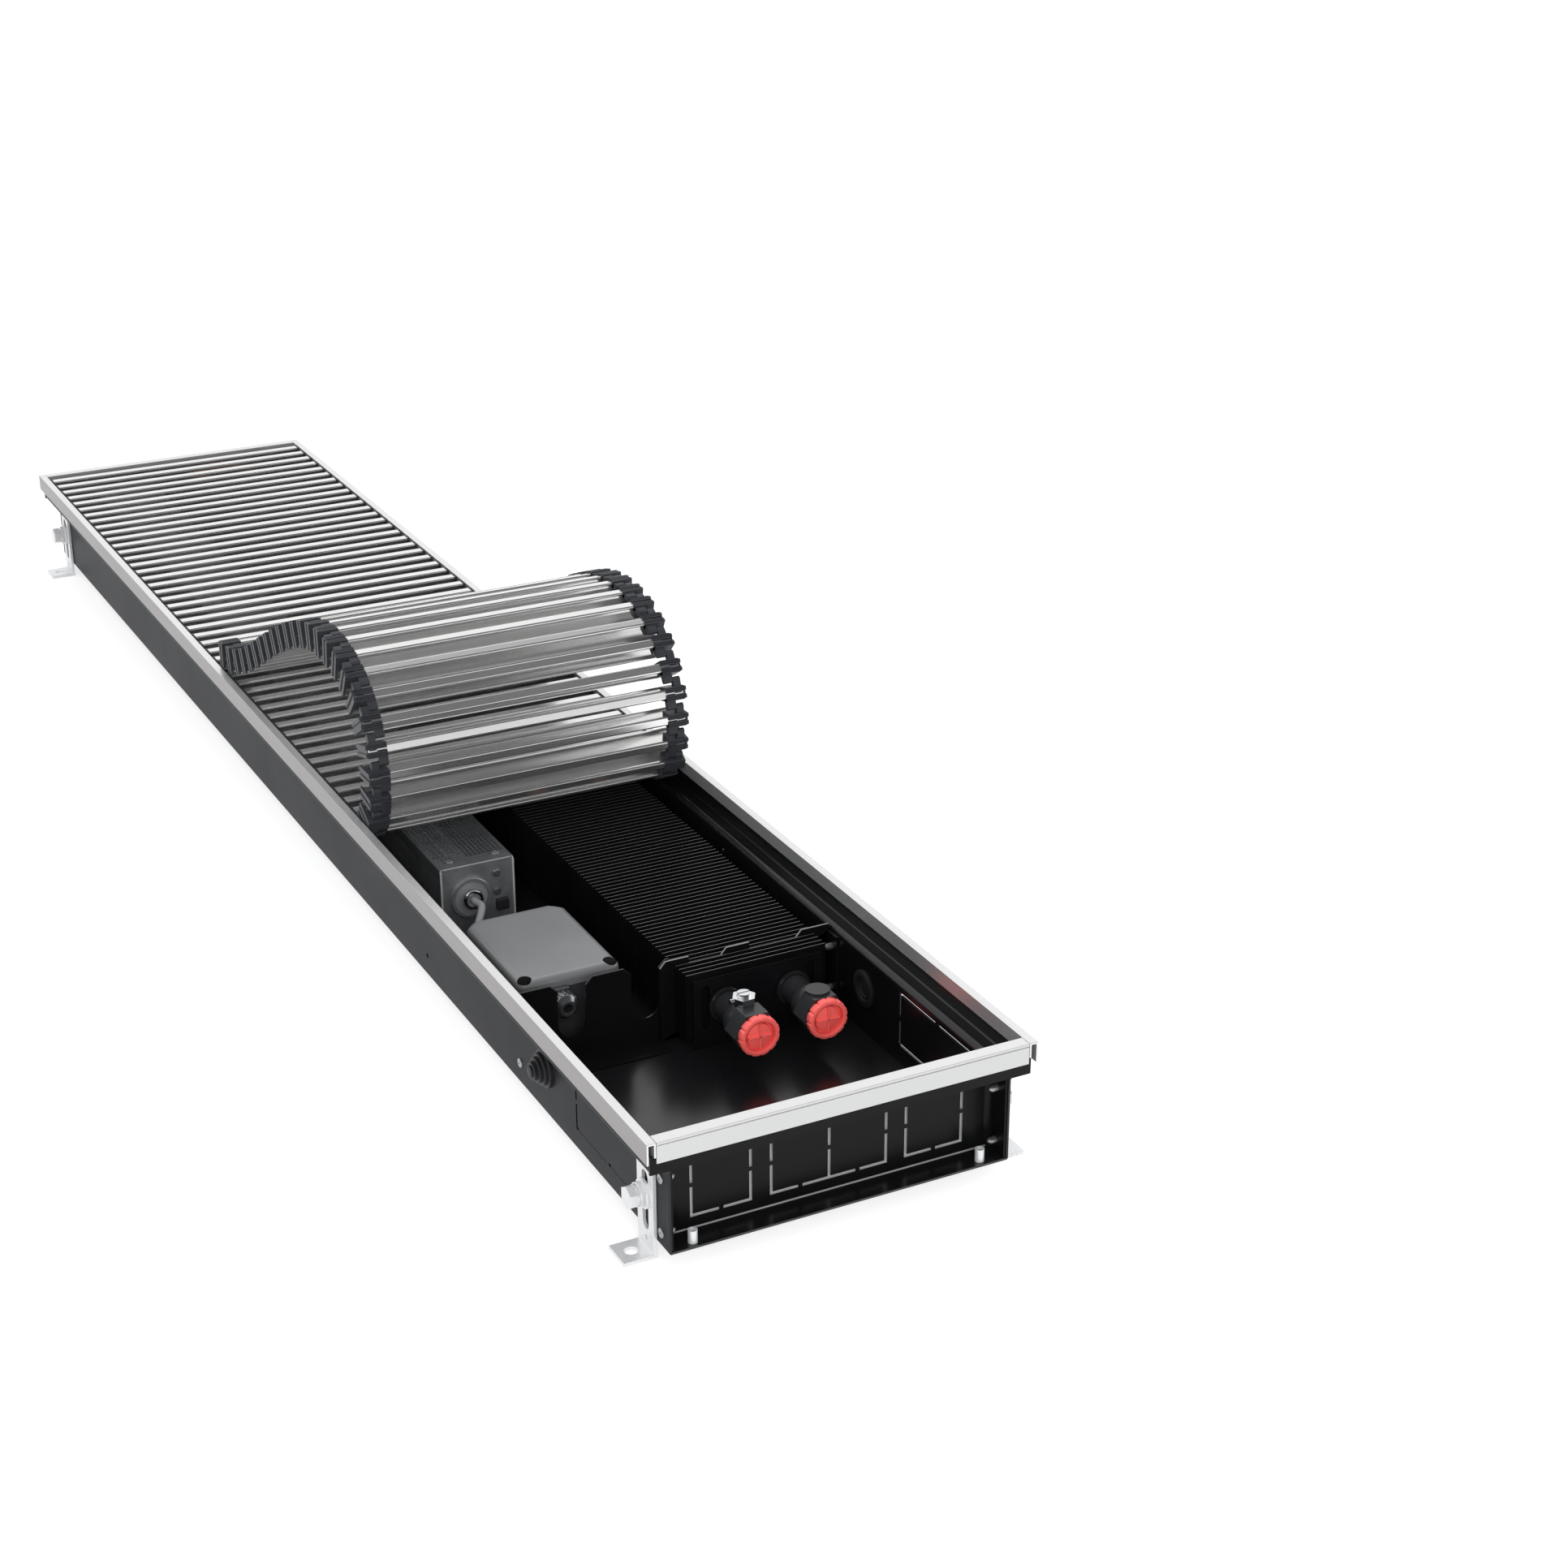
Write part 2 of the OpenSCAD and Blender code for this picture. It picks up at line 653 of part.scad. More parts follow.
module foot_bolt() {
    x0 = foot_x + foot_t;
    x1 = x0 + big_washer_t;
    x2 = x1 + lock_nut_t;
    x3 = x2 + lock_washer_t;
    difference() {
        x_pin(x0, x1, 0, 0, big_washer_r);
        x_pin(x0 - over, x1 + over, 0, 0, bolt_r + pin_gap);
    }
    difference() {
        x_hex(x1, x2, lock_nut_flats);
        x_pin(x1 - over, x2 + over, 0, 0, bolt_r + pin_gap);
    }
    difference() {
        x_pin(x2, x3, 0, 0, lock_washer_r);
        x_pin(x2 - over, x3 + over, 0, 0, bolt_r + pin_gap);
    }
    x_hex(x3, x3 + bolt_head_t, bolt_head_flats);
    x_pin(wall_in - rivet_nut_len - over, x3, 0, 0, bolt_r);
    difference() {
        x_pin(wall_in - rivet_nut_len, wall_in, 0, 0, rivet_nut_r);
        x_pin(wall_in - rivet_nut_len - over, wall_in + over, 0, 0, bolt_r + pin_gap);
    }
}

module foot_bolts() {
    color("#bfc3c7") for (y = [foot_y, frame_len - foot_y])
        both_sides() translate([0, front + y, frame_top - bolt_depth]) foot_bolt();
}

module set_screws() {
    color("#aeb2b6") for (y = [set_screw_y, frame_len - set_screw_y]) both_sides()
        translate([set_screw_x, front + y, foot_drop]) difference() {
            cylinder(h = set_screw_len, r = set_screw_r);
            translate([0, 0, set_screw_len - set_screw_socket])
                cylinder(h = set_screw_len, d = set_screw_socket / cos(30), $fn = 6);
        }
}

// Grommets: rubber, snapped into the walls, closed by a stepped cone that is cut to suit a cable
grommet_lip_t = 1.5;
grommet_tip_r = 4;
grommet_steps = 4;
grommet_hollow_r = 8.5;

module wall_grommets() {
    step_h = grommet_cone_h / grommet_steps;
    step_r = (grommet_r - grommet_tip_r) / grommet_steps;
    color("#2f3033") both_sides() translate([0, front + grommet_y, frame_top - grommet_depth]) difference() {
        union() {
            x_pin(wall_in - grommet_lip_t, wall_in, 0, 0, grommet_r);
            x_pin(wall_in, wall_x, 0, 0, grommet_hole_r - pin_gap);
            for (i = [0:grommet_steps - 1])
                x_pin(wall_x, wall_x + (i + 1) * step_h, 0, 0, grommet_r - i * step_r);
            x_pin(wall_x, wall_x + grommet_cone_h + step_h / 2, 0, 0, grommet_tip_r);
        }
        x_pin(wall_in - grommet_lip_t - over, wall_x, 0, 0, grommet_hollow_r);
    }
}

// Heat exchanger: fins with spacing collars on a copper tube that runs out and back, in sheet brackets
fin_collar_t = 0.8;
tube_pitch_share = 0.4826;
tube_pitch = tube_pitch_share * fin_w;
fin_x0 = fin_x - fin_w / 2;
fin_x1 = fin_x + fin_w / 2;
fin_z1 = frame_top - fin_top;
tube_z = fin_z1 - fin_h / 2;
tube_places = [fin_x - tube_pitch / 2, fin_x + tube_pitch / 2];

module tube_holes(r) {
    for (x = tube_places) translate([x, tube_z]) circle(r);
}

module fin_block() {
    y0 = front + fin_y;
    block_len = (fin_count - 1) * fin_pitch + fin_t;
    color("#4a4b4d") difference() {
        union() {
            for (i = [0:fin_count - 1])
                across(y0 + i * fin_pitch, fin_t) area(fin_x0, fin_z1 - fin_h, fin_x1, fin_z1);
            across(y0, block_len) tube_holes(tube_r + fin_collar_t);
        }
        across(y0 - over, block_len + 2 * over) tube_holes(tube_r + tube_gap);
    }
}

tube_lead_in = 8;
tube_tail = 6;

module exchanger_tube() {
    y0 = front + fin_y - tube_lead_in;
    y1 = front + fin_y + fin_count * fin_pitch + tube_tail;
    color("#a5694a") difference() {
        union() {
            for (x = tube_places) y_pin(x, y0, y1, tube_z, tube_r);
            translate([fin_x, y1, tube_z]) rotate_extrude(angle = 180)
                translate([tube_pitch / 2, 0]) circle(tube_r);
        }
        for (x = tube_places) y_pin(x, y0 - over, y1, tube_z, tube_r - tube_wall);
        translate([fin_x, y1, tube_z]) rotate_extrude(angle = 180)
            translate([tube_pitch / 2, 0]) circle(tube_r - tube_wall);
    }
}

// The braces stand between two fins and carry the grille on raised tabs
brace_reach = 10;
brace_drop = 26;
tab_top = 21.5;
tab_slope = 4;
tab_len = 21;
front_bracket_gap = 3;
front_bracket_inset = 4;
bracket_slot_r = 3;
bracket_slot_inset = 9;
bracket_slot_h = 26;

module tab_area(x0, x1) {
    z0 = frame_top - brace_drop;
    z1 = frame_top - tab_top;
    polygon([[x0, z0], [x0 + tab_slope, z1], [x1, z1], [x1, z0]]);
}

module exchanger_brace(y) {
    x0 = fin_x0 - brace_reach;
    x1 = wall_in - pin_gap;
    difference() {
        union() {
            across(y, sheet) difference() {
                union() {
                    area(x0, floor_top, x1, frame_top - brace_drop);
                    tab_area(x0, x0 + tab_len);
                    tab_area(fin_x - tab_len + tab_slope, fin_x + tab_slope);
                    tab_area(x1 - tab_len - tab_slope, x1);
                }
                tube_holes(tube_r + fin_collar_t + rest_gap);
            }
            block([x1 - sheet, y - brace_flange, floor_top + sheet],
                [x1, y + sheet / 2, frame_top - brace_drop]);
        }
        for (d = rivet_depths_plate)
            x_pin(x1 - sheet - over, x1 + over, y - brace_flange / 2, frame_top - d, rivet_shank_r + pin_gap);
    }
}

module exchanger_brackets() {
    plate_half = fin_w / 2 - front_bracket_inset;
    color("#2e2f31") {
        for (y = [front_brace_y, rear_brace_y]) exchanger_brace(front + y);
        across(front + fin_y - front_bracket_gap, sheet) difference() {
            area(fin_x - plate_half, floor_top, fin_x + plate_half, fin_z1 - front_bracket_inset);
            tube_holes(tube_r + rest_gap);
            for (x = [bracket_slot_inset - plate_half, plate_half - bracket_slot_inset])
                translate([fin_x + x, tube_z])
                    slot_area(bracket_slot_r, -bracket_slot_h / 2, bracket_slot_h / 2);
        }
    }
}

// Connectors: turned bodies soldered on the tube's ends, with a hexagon round the open end
union_shoulder_r = 13.4;
union_shoulder_len = 8;
union_cone_len = 6;
union_ring_r = 11.5;
union_ring_len = 3;
union_bore_len = 15;
union_way_r = 6;
boss_r = 6.6;
boss_top = 36;
vent_thread_r = 3.5;
vent_thread_len = 5;
pad_r = 8.2;
pad_h = 1.6;

module pipe_connector(x, vented) {
    y0 = front + union_y;
    y1 = y0 + union_hex_len;
    y2 = y1 + union_shoulder_len;
    y3 = y2 + union_cone_len;
    y4 = front + fin_y - front_bracket_gap - rest_gap;
    boss_y = y1 + union_shoulder_len / 2;
    hex_top = tube_z + union_hex / 2;
    difference() {
        union() {
            y_hex(x, y0, y1, tube_z, union_hex);
            y_pin(x, y1, y2, tube_z, union_shoulder_r);
            translate([x, y2, tube_z]) rotate([-90, 0, 0])
                cylinder(h = union_cone_len, r1 = union_shoulder_r, r2 = union_neck_r);
            y_pin(x, y3, y4, tube_z, union_neck_r);
            y_pin(x, y4 - union_ring_len, y4, tube_z, union_ring_r);
            if (vented) translate([x, boss_y, tube_z])
                cylinder(h = frame_top - boss_top - tube_z, r = boss_r);
            else translate([x, y1 - pad_r / 2, tube_z]) cylinder(h = hex_top + pad_h - tube_z, r = pad_r);
        }
        y_pin(x, y0 - over, y0 + union_bore_len, tube_z, union_bore_r);
        y_pin(x, y0, y4, tube_z, union_way_r);
        y_pin(x, front + fin_y - tube_lead_in, y4 + over, tube_z, tube_r + tube_gap);
        if (vented) translate([x, boss_y, frame_top - boss_top - vent_thread_len])
            cylinder(h = vent_thread_len + over, r = vent_thread_r + pin_gap);
    }
}

module pipe_connectors() {
    color("#54575b") {
        pipe_connector(tube_places[0], true);
        pipe_connector(tube_places[1], false);
    }
}

// Air vent: a small nickel-plated valve with a slotted screw and a spout
vent_hex = 14.5;
vent_hex_t = 5;
vent_screw_r = 4.6;
vent_screw_t = 2.4;
vent_slot_w = 1.2;
vent_spout_r = 1.8;
vent_spout_len = 10;

module air_vent() {
    z0 = frame_top - boss_top;
    y = front + union_y + union_hex_len + union_shoulder_len / 2;
    color("#d9dcdf") translate([tube_places[0], y, z0]) difference() {
        union() {
            cylinder(h = vent_hex_t, d = vent_hex / cos(30), $fn = 6);
            translate([0, 0, -vent_thread_len]) cylinder(h = vent_thread_len, r = vent_thread_r);
            translate([0, 0, vent_hex_t]) cylinder(h = vent_screw_t, r = vent_screw_r);
            translate([0, 0, vent_hex_t / 2]) x_pin(-vent_spout_len, 0, 0, 0, vent_spout_r);
        }
        block([-vent_hex, -vent_slot_w / 2, vent_hex_t + vent_screw_t / 2],
            [vent_hex, vent_slot_w / 2, vent_hex_t + vent_screw_t + over]);
    }
}

// Transport caps: red plastic plugs, pushed into the connectors until the pipes are fitted
cap_plug_gap = 0.4;
cap_plug_len = 12;
cap_recess_r = 9.8;
cap_recess_t = 3.6;
cap_cross_w = 1.4;
cap_cross_t = 1.6;
cap_grip_r = 1;
cap_grips = 8;

module transport_cap(x) {
    y0 = front + union_y - cap_rim_t;
    y1 = front + union_y;
    color("#e0524c") {
        difference() {
            union() {
                y_pin(x, y0, y1, tube_z, cap_rim_r);
                y_pin(x, y1, y1 + cap_plug_len, tube_z, union_bore_r - cap_plug_gap);
            }
            y_pin(x, y0 - over, y0 + cap_recess_t, tube_z, cap_recess_r);
            for (i = [1:cap_grips]) translate([x, y1, tube_z]) rotate([90, i * 360 / cap_grips, 0])
                translate([cap_rim_r, 0, -over]) cylinder(h = cap_rim_t + 2 * over, r = cap_grip_r);
        }
        for (turn = [0, 90]) translate([x, 0, tube_z]) rotate([0, turn, 0])
            block([-cap_recess_r, y0 + cap_recess_t - cap_cross_t, -cap_cross_w / 2],
                [cap_recess_r, y0 + cap_recess_t, cap_cross_w / 2]);
    }
}

// Fan: a drum of thin blades in a sheet housing, with a perforated guard on top and a motor at its front end
rotor_offset_share = 0.1071;
rotor_share = 0.3304;
rotor_offset = rotor_offset_share * fan_w;
rotor_r = rotor_share * fan_w;
rotor_depth = 49.5;
rotor_x = fan_x - rotor_offset;
rotor_z = frame_top - rotor_depth;
shaft_r = 3;
motor_y = fan_y + fan_sheet;
motor_len = 28;
motor_r = 16;
motor_neck_r = 12;
motor_disc_r = 15;
motor_disc_t = 2;
motor_hub_r = 6.2;
motor_hub_len = 3;
drum_gap = 5;
disc_t = 1.2;
disc_count = 7;
blade_chord = 5.5;
blade_t = 0.7;
blade_turn = 35;
outlet_top = 44;
outlet_lip = 9;
guard_skirt = 8;
guard_side_margin = 7;
guard_end_margin = 13;
guard_bays = 15;
guard_slots = 7;
guard_bar = 3;
fan_z1 = frame_top - fan_top - fan_sheet;
fan_half = fan_w / 2 - fan_sheet;
fan_screw_y = 9;
fan_screw_x = 17.5;
front_screw_x = 14.5;
front_screw_depths = [35, 49.7];

module fan_housing() {
    y0 = front + fan_y;
    color("#9a9da1") difference() {
        union() {
            across(y0, fan_len) {
                area(fan_x - fan_half, floor_top, fan_x + fan_half, floor_top + fan_sheet);
                area(fan_x - fan_half, floor_top, fan_x - fan_half + fan_sheet, fan_z1);
                area(fan_x + fan_half - fan_sheet, floor_top, fan_x + fan_half, floor_top + outlet_lip);
                area(fan_x + fan_half - fan_sheet, frame_top - outlet_top, fan_x + fan_half, fan_z1);
            }
            for (y = [y0, y0 + fan_len - fan_sheet])
                across(y, fan_sheet) area(fan_x - fan_half, floor_top, fan_x + fan_half, fan_z1);
            for (y = [y0, y0 + fan_len - guard_end_margin])
                block([fan_x - fan_half, y, fan_z1 - fan_sheet],
                    [fan_x + fan_half, y + guard_end_margin, fan_z1]);
        }
        y_pin(rotor_x, y0 - over, y0 + fan_sheet + over, rotor_z, motor_neck_r + pin_gap);
        y_pin(rotor_x, y0 + fan_len - fan_sheet - over, y0 + fan_len + over, rotor_z, shaft_r + pin_gap);
        for (d = front_screw_depths)
            y_pin(fan_x + front_screw_x, y0 - over, y0 + fan_sheet + over, frame_top - d,
                small_screw_r + pin_gap);
        guard_screw_holes(fan_z1 - fan_sheet - over, fan_sheet + 2 * over);
    }
}

module guard_screw_holes(z, h) {
    for (x = [-fan_screw_x, fan_screw_x], y = [fan_screw_y, fan_len - fan_screw_y])
        translate([fan_x + x, front + fan_y + y, z]) cylinder(h = h, r = small_screw_r + pin_gap);
}

module fan_guard() {
    y1 = front + fan_y;
    y0 = y1 + guard_end_margin;
    bay = (fan_len - 2 * guard_end_margin) / guard_bays;
    slot = (fan_w - 2 * guard_side_margin) / guard_slots;
    z1 = fan_z1 + fan_sheet;
    color("#a2a5a8") difference() {
        union() {
            block([fan_x - fan_w / 2, y1, fan_z1], [fan_x + fan_w / 2, y1 + fan_len, z1]);
            for (x = [fan_x - fan_w / 2, fan_x + fan_half])
                block([x, y1, z1 - guard_skirt], [x + fan_sheet, y1 + fan_len, z1]);
        }
        translate([0, 0, fan_z1 - over]) linear_extrude(fan_sheet + 2 * over)
            for (i = [0:guard_bays - 1], j = [0:guard_slots - 1])
                translate([fan_x - fan_w / 2 + guard_side_margin + j * slot, y0 + i * bay])
                    area(guard_bar / 2, guard_bar / 2, slot - guard_bar / 2, bay - guard_bar / 2);
        guard_screw_holes(fan_z1 - over, fan_sheet + 2 * over);
    }
}

module fan_rotor() {
    y0 = front + motor_y + motor_len + drum_gap;
    y1 = front + fan_y + fan_len - fan_sheet - drum_gap;
    step = (y1 - y0 - disc_t) / (disc_count - 1);
    color("#4d5054") {
        y_pin(rotor_x, front + motor_y + motor_len / 2, y1 + drum_gap + fan_sheet, rotor_z, shaft_r);
        for (i = [0:disc_count - 1]) y_pin(rotor_x, y0 + i * step, y0 + i * step + disc_t, rotor_z, rotor_r);
        across(y0, y1 - y0) translate([rotor_x, rotor_z]) for (i = [1:blade_count])
            rotate(i * 360 / blade_count) translate([rotor_r - blade_chord, 0]) rotate(blade_turn)
                area(0, -blade_t / 2, blade_chord, blade_t / 2);
    }
}

module fan_motor() {
    y0 = front + fan_y;
    color("#8b8e92") difference() {
        union() {
            y_pin(rotor_x, y0 - motor_disc_t - motor_hub_len, y0 - motor_disc_t, rotor_z, motor_hub_r);
            y_pin(rotor_x, y0 - motor_disc_t, y0, rotor_z, motor_disc_r);
            y_pin(rotor_x, y0, y0 + fan_sheet, rotor_z, motor_neck_r);
            y_pin(rotor_x, y0 + fan_sheet, y0 + fan_sheet + motor_len, rotor_z, motor_r);
        }
        y_pin(rotor_x, y0 + fan_sheet + motor_len / 2 - rest_gap, y0 + fan_sheet + motor_len + over, rotor_z,
            shaft_r + pin_gap);
    }
}

// Mounting plate: an upright sheet with a notch for the cable gland, a floor flange and a wall flange
plate_top = 21.8;
plate_corner = 5;
side_notch_inset = 7.5;
gland_side_share = 0.1233;
plate_gap = 1.8;
plate_right = fin_x0 - plate_gap;
plate_notch_x = lid_x - gland_side_share * lid_w;
side_notch_x = plate_right - notch_w / 2 - side_notch_inset;
notch_bottom = 52;

module notch_area(x, z, flare) {
    r = notch_w / 2;
    z1 = frame_top;
    translate([x, z]) circle(r);
    area(x - r, z, x + r, z1);
    z0 = z1 - plate_top;
    polygon([[x - r, z0 - flare], [x - r - flare, z0], [x - r - flare, z1],
        [x + r + flare, z1], [x + r + flare, z0], [x + r, z0 - flare]]);
}

module box_plate() {
    y = front + plate_y;
    x0 = pin_gap - wall_in;
    color("#2d2e30") difference() {
        union() {
            across(y, sheet) difference() {
                area(x0, floor_top, plate_right, frame_top - plate_top);
                notch_area(plate_notch_x, frame_top - notch_bottom, plate_corner);
                notch_area(side_notch_x, frame_top - notch_bottom, plate_corner);
            }
            block([x0 + plate_flange / 2, y - plate_flange, floor_top],
                [fin_x0 - brace_reach - rest_gap, y + sheet / 2, floor_top + sheet]);
            block([x0, y - plate_flange, floor_top + plate_corner],
                [x0 + sheet, y + sheet / 2, frame_top - plate_top - plate_corner]);
        }
        for (d = rivet_depths_plate)
            x_pin(x0 - over, x0 + sheet + over, y - plate_flange / 2, frame_top - d, rivet_shank_r + pin_gap);
    }
}

// Junction box: die-cast, with a lid held by four screws that stand in corner recesses
lid_corner_r = 6;
lid_top_t = 4;
base_inset = 1;
lid_screw_inset = 6;
lid_recess_r = 4;
lid_recess_t = 2.2;
screw_post_r = 5;
lid_z1 = frame_top - lid_top;
lid_z0 = lid_z1 - lid_h;
lid_mid_y = front + lid_y + lid_len / 2;
lid_screw_places = [for (x = [-1, 1], y = [-1, 1])
    [lid_x + x * (lid_w / 2 - lid_screw_inset), lid_mid_y + y * (lid_len / 2 - lid_screw_inset)]];
small_screw_r = 1.6;
base_front = front + lid_y + base_inset;

module lid_outline(inset) {
    translate([lid_x, lid_mid_y])
        round_area(lid_w - 2 * inset, lid_len - 2 * inset, lid_corner_r - inset);
}

module box_base() {
    color("#77797c") difference() {
        union() {
            difference() {
                translate([0, 0, floor_top]) linear_extrude(lid_z0 - floor_top) lid_outline(base_inset);
                translate([0, 0, floor_top + box_wall]) linear_extrude(casing_h)
                    lid_outline(base_inset + box_wall);
            }
            for (p = lid_screw_places)
                translate([p[0], p[1], floor_top]) cylinder(h = lid_z0 - floor_top, r = screw_post_r);
        }
        for (p = lid_screw_places)
            translate([p[0], p[1], lid_z0 - lid_h]) cylinder(h = casing_h, r = small_screw_r + pin_gap);
        y_pin(plate_notch_x, base_front - over, base_front + box_wall + over, frame_top - gland_depth,
            gland_thread_r + pin_gap);
    }
}

module box_lid() {
    color("#a7a9ac") difference() {
        translate([0, 0, lid_z0]) linear_extrude(lid_h) lid_outline(0);
        translate([0, 0, lid_z0 - over]) linear_extrude(lid_h - lid_top_t + over) difference() {
            lid_outline(base_inset + box_wall);
            for (p = lid_screw_places) translate(p) circle(screw_post_r);
        }
        for (p = lid_screw_places) translate([p[0], p[1], 0]) {
            translate([0, 0, lid_z1 - lid_recess_t]) cylinder(h = lid_h, r = lid_recess_r);
            translate([0, 0, lid_z0 - over]) cylinder(h = 2 * lid_h, r = small_screw_r + pin_gap);
        }
    }
}

// Fan lead: round cable from the motor's hub to the back of the junction box
lead_r = 2.7;
lead_sides = 12;
lead_end_share = 0.2877;
lead_rise = 16;
lead_start = [rotor_x, front + fan_y - motor_disc_t - motor_hub_len, rotor_z];
lead_end = [lid_x - lid_w * lead_end_share, front + lid_y + lid_len - base_inset, floor_top + lead_rise];
lead_shares = [[0, 0.01, 0], [0, 0.09, 0], [-0.075, 0.153, -0.035], [-0.05, 0.222, 0], [0.15, 0.306, 0.207],
    [0.45, 0.417, 0.483], [0.75, 0.569, 0.759], [0.95, 0.736, 0.931], [1, 0.889, 1], [1, 1, 1]];
lead_route = [for (s = lead_shares) [for (i = [0:2]) lead_start[i] + s[i] * (lead_end[i] - lead_start[i])]];

function unit(v) = v / norm(v);
function lead_way(i) = unit(lead_route[min(i + 1, len(lead_route) - 1)] - lead_route[max(i - 1, 0)]);
function lead_ring(i) = let (side = unit(cross(lead_way(i), [0, 0, 1])), up = cross(side, lead_way(i)))
    [for (a = [0:360 / lead_sides:359]) lead_route[i] + lead_r * (cos(a) * side + sin(a) * up)];

module fan_lead() {
    n = lead_sides;
    last = len(lead_route) - 1;
    color("#85888c") polyhedron(
        points = [for (i = [0:last]) each lead_ring(i)],
        faces = concat(
            [[for (j = [n - 1:-1:0]) j]],
            [for (i = [0:last - 1], j = [0:n - 1], half = [0, 1]) half == 0
                ? [i * n + j, i * n + (j + 1) % n, (i + 1) * n + j]
                : [i * n + (j + 1) % n, (i + 1) * n + (j + 1) % n, (i + 1) * n + j]],
            [[for (j = [0:n - 1]) last * n + j]]));
}

// Cable gland: nickel-plated, with a hexagon against the box and a ribbed cap nut
gland_thread_r = 6;
gland_hex = 20;
gland_hex_t = 5;
gland_nut_r = 8.6;
gland_nut_len = 7;
gland_dome_r = 5.5;
gland_dome_len = 3.5;
gland_way_r = 3.2;

module cable_gland() {
    z = frame_top - gland_depth;
    y1 = base_front - base_inset - rest_gap;
    y2 = y1 - gland_hex_t;
    y3 = y2 - gland_nut_len;
    inner_y = base_front + box_wall + gland_hex_t;
    color("#c3c6c9") difference() {
        union() {
            y_pin(plate_notch_x, y3, inner_y, z, gland_thread_r);
            y_hex(plate_notch_x, y2, y1, z, gland_hex);
            y_pin(plate_notch_x, y3, y2, z, gland_nut_r);
            translate([plate_notch_x, y3, z]) rotate([90, 0, 0])
                cylinder(h = gland_dome_len, r1 = gland_nut_r, r2 = gland_dome_r);
        }
        y_pin(plate_notch_x, y3 - gland_dome_len - over, inner_y + over, z, gland_way_r);
    }
}

// Terminals: the terminal strip inside the junction box
terminal_w = 46;
terminal_l = 20;
terminal_h = 14;
terminal_poles = 5;
terminal_hole_r = 2.2;
terminal_hole_t = 8;

module terminal_block() {
    z = floor_top + box_wall;
    pole = terminal_w / terminal_poles;
    color("#d8d6cf") difference() {
        block([lid_x - terminal_w / 2, lid_mid_y - terminal_l / 2, z],
            [lid_x + terminal_w / 2, lid_mid_y + terminal_l / 2, z + terminal_h]);
        for (i = [0:terminal_poles - 1])
            translate([lid_x + (i + 0.5) * pole - terminal_w / 2, lid_mid_y,
                z + terminal_h - terminal_hole_t]) cylinder(h = terminal_h, r = terminal_hole_r);
    }
}

// Small screws: four in the lid's recesses, four in the fan guard and two in the housing's front
screw_head_r = 3.2;
screw_head_t = 1.6;
lid_screw_len = 12;
guard_screw_len = 5;

module small_screws() {
    color("#b0b3b6") {
        for (p = lid_screw_places) translate([p[0], p[1], lid_z1 - lid_recess_t]) {
            cylinder(h = screw_head_t, r = screw_head_r);
            translate([0, 0, -lid_screw_len]) cylinder(h = lid_screw_len, r = small_screw_r);
        }
        for (x = [-fan_screw_x, fan_screw_x], y = [fan_screw_y, fan_len - fan_screw_y])
            translate([fan_x + x, front + fan_y + y, fan_z1 + fan_sheet]) {
                cylinder(h = screw_head_t, r = screw_head_r);
                translate([0, 0, -guard_screw_len]) cylinder(h = guard_screw_len, r = small_screw_r);
            }
        for (d = front_screw_depths) {
            y = front + fan_y;
            y_pin(fan_x + front_screw_x, y - screw_head_t, y, frame_top - d, screw_head_r);
            y_pin(fan_x + front_screw_x, y, y + guard_screw_len, frame_top - d, small_screw_r);
        }
    }
}

casing_floor();
mirror([1, 0, 0]) casing_wall(left_rivets);  // casing_wall_left
casing_wall(right_rivets);  // casing_wall_right
mirror([1, 0, 0]) side_sheet(ledge_x0, ledge_x1);  // casing_ledge_left
side_sheet(ledge_x0, ledge_x1);  // casing_ledge_right
mirror([1, 0, 0])  // casing_upstand_left
    side_sheet(ledge_x1, upstand_x + over);
side_sheet(ledge_x1, upstand_x + over);  // casing_upstand_right
front_end_plate();
rear_end_plate();
side_profile();  // frame_left
mirror([1, 0, 0]) side_profile();  // frame_right
end_profile();  // frame_front
mirror([0, 1, 0]) end_profile();  // frame_rear
fixed_slats();
fixed_slat_caps();
wall_rivets();
foot_at(1, foot_y);  // foot_front_left
foot_at(0, foot_y);  // foot_front_right
foot_at(1, frame_len - foot_y);  // foot_rear_left
foot_at(0, frame_len - foot_y);  // foot_rear_right
foot_bolts();
set_screws();
wall_grommets();
fin_block();
exchanger_tube();
exchanger_brackets();
pipe_connectors();
air_vent();
transport_cap(tube_places[0]);  // transport_cap_left
transport_cap(tube_places[1]);  // transport_cap_right
fan_housing();
fan_guard();
fan_rotor();
fan_motor();
fan_lead();
box_plate();
box_base();
box_lid();
cable_gland();
terminal_block();
small_screws();
roll_end_slats();
roll_end_caps();
for (k = [roll_end_count + 1:roll_count]) roll_slat(k);
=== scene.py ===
import bpy
import bmesh
import math
from mathutils import Matrix, Vector


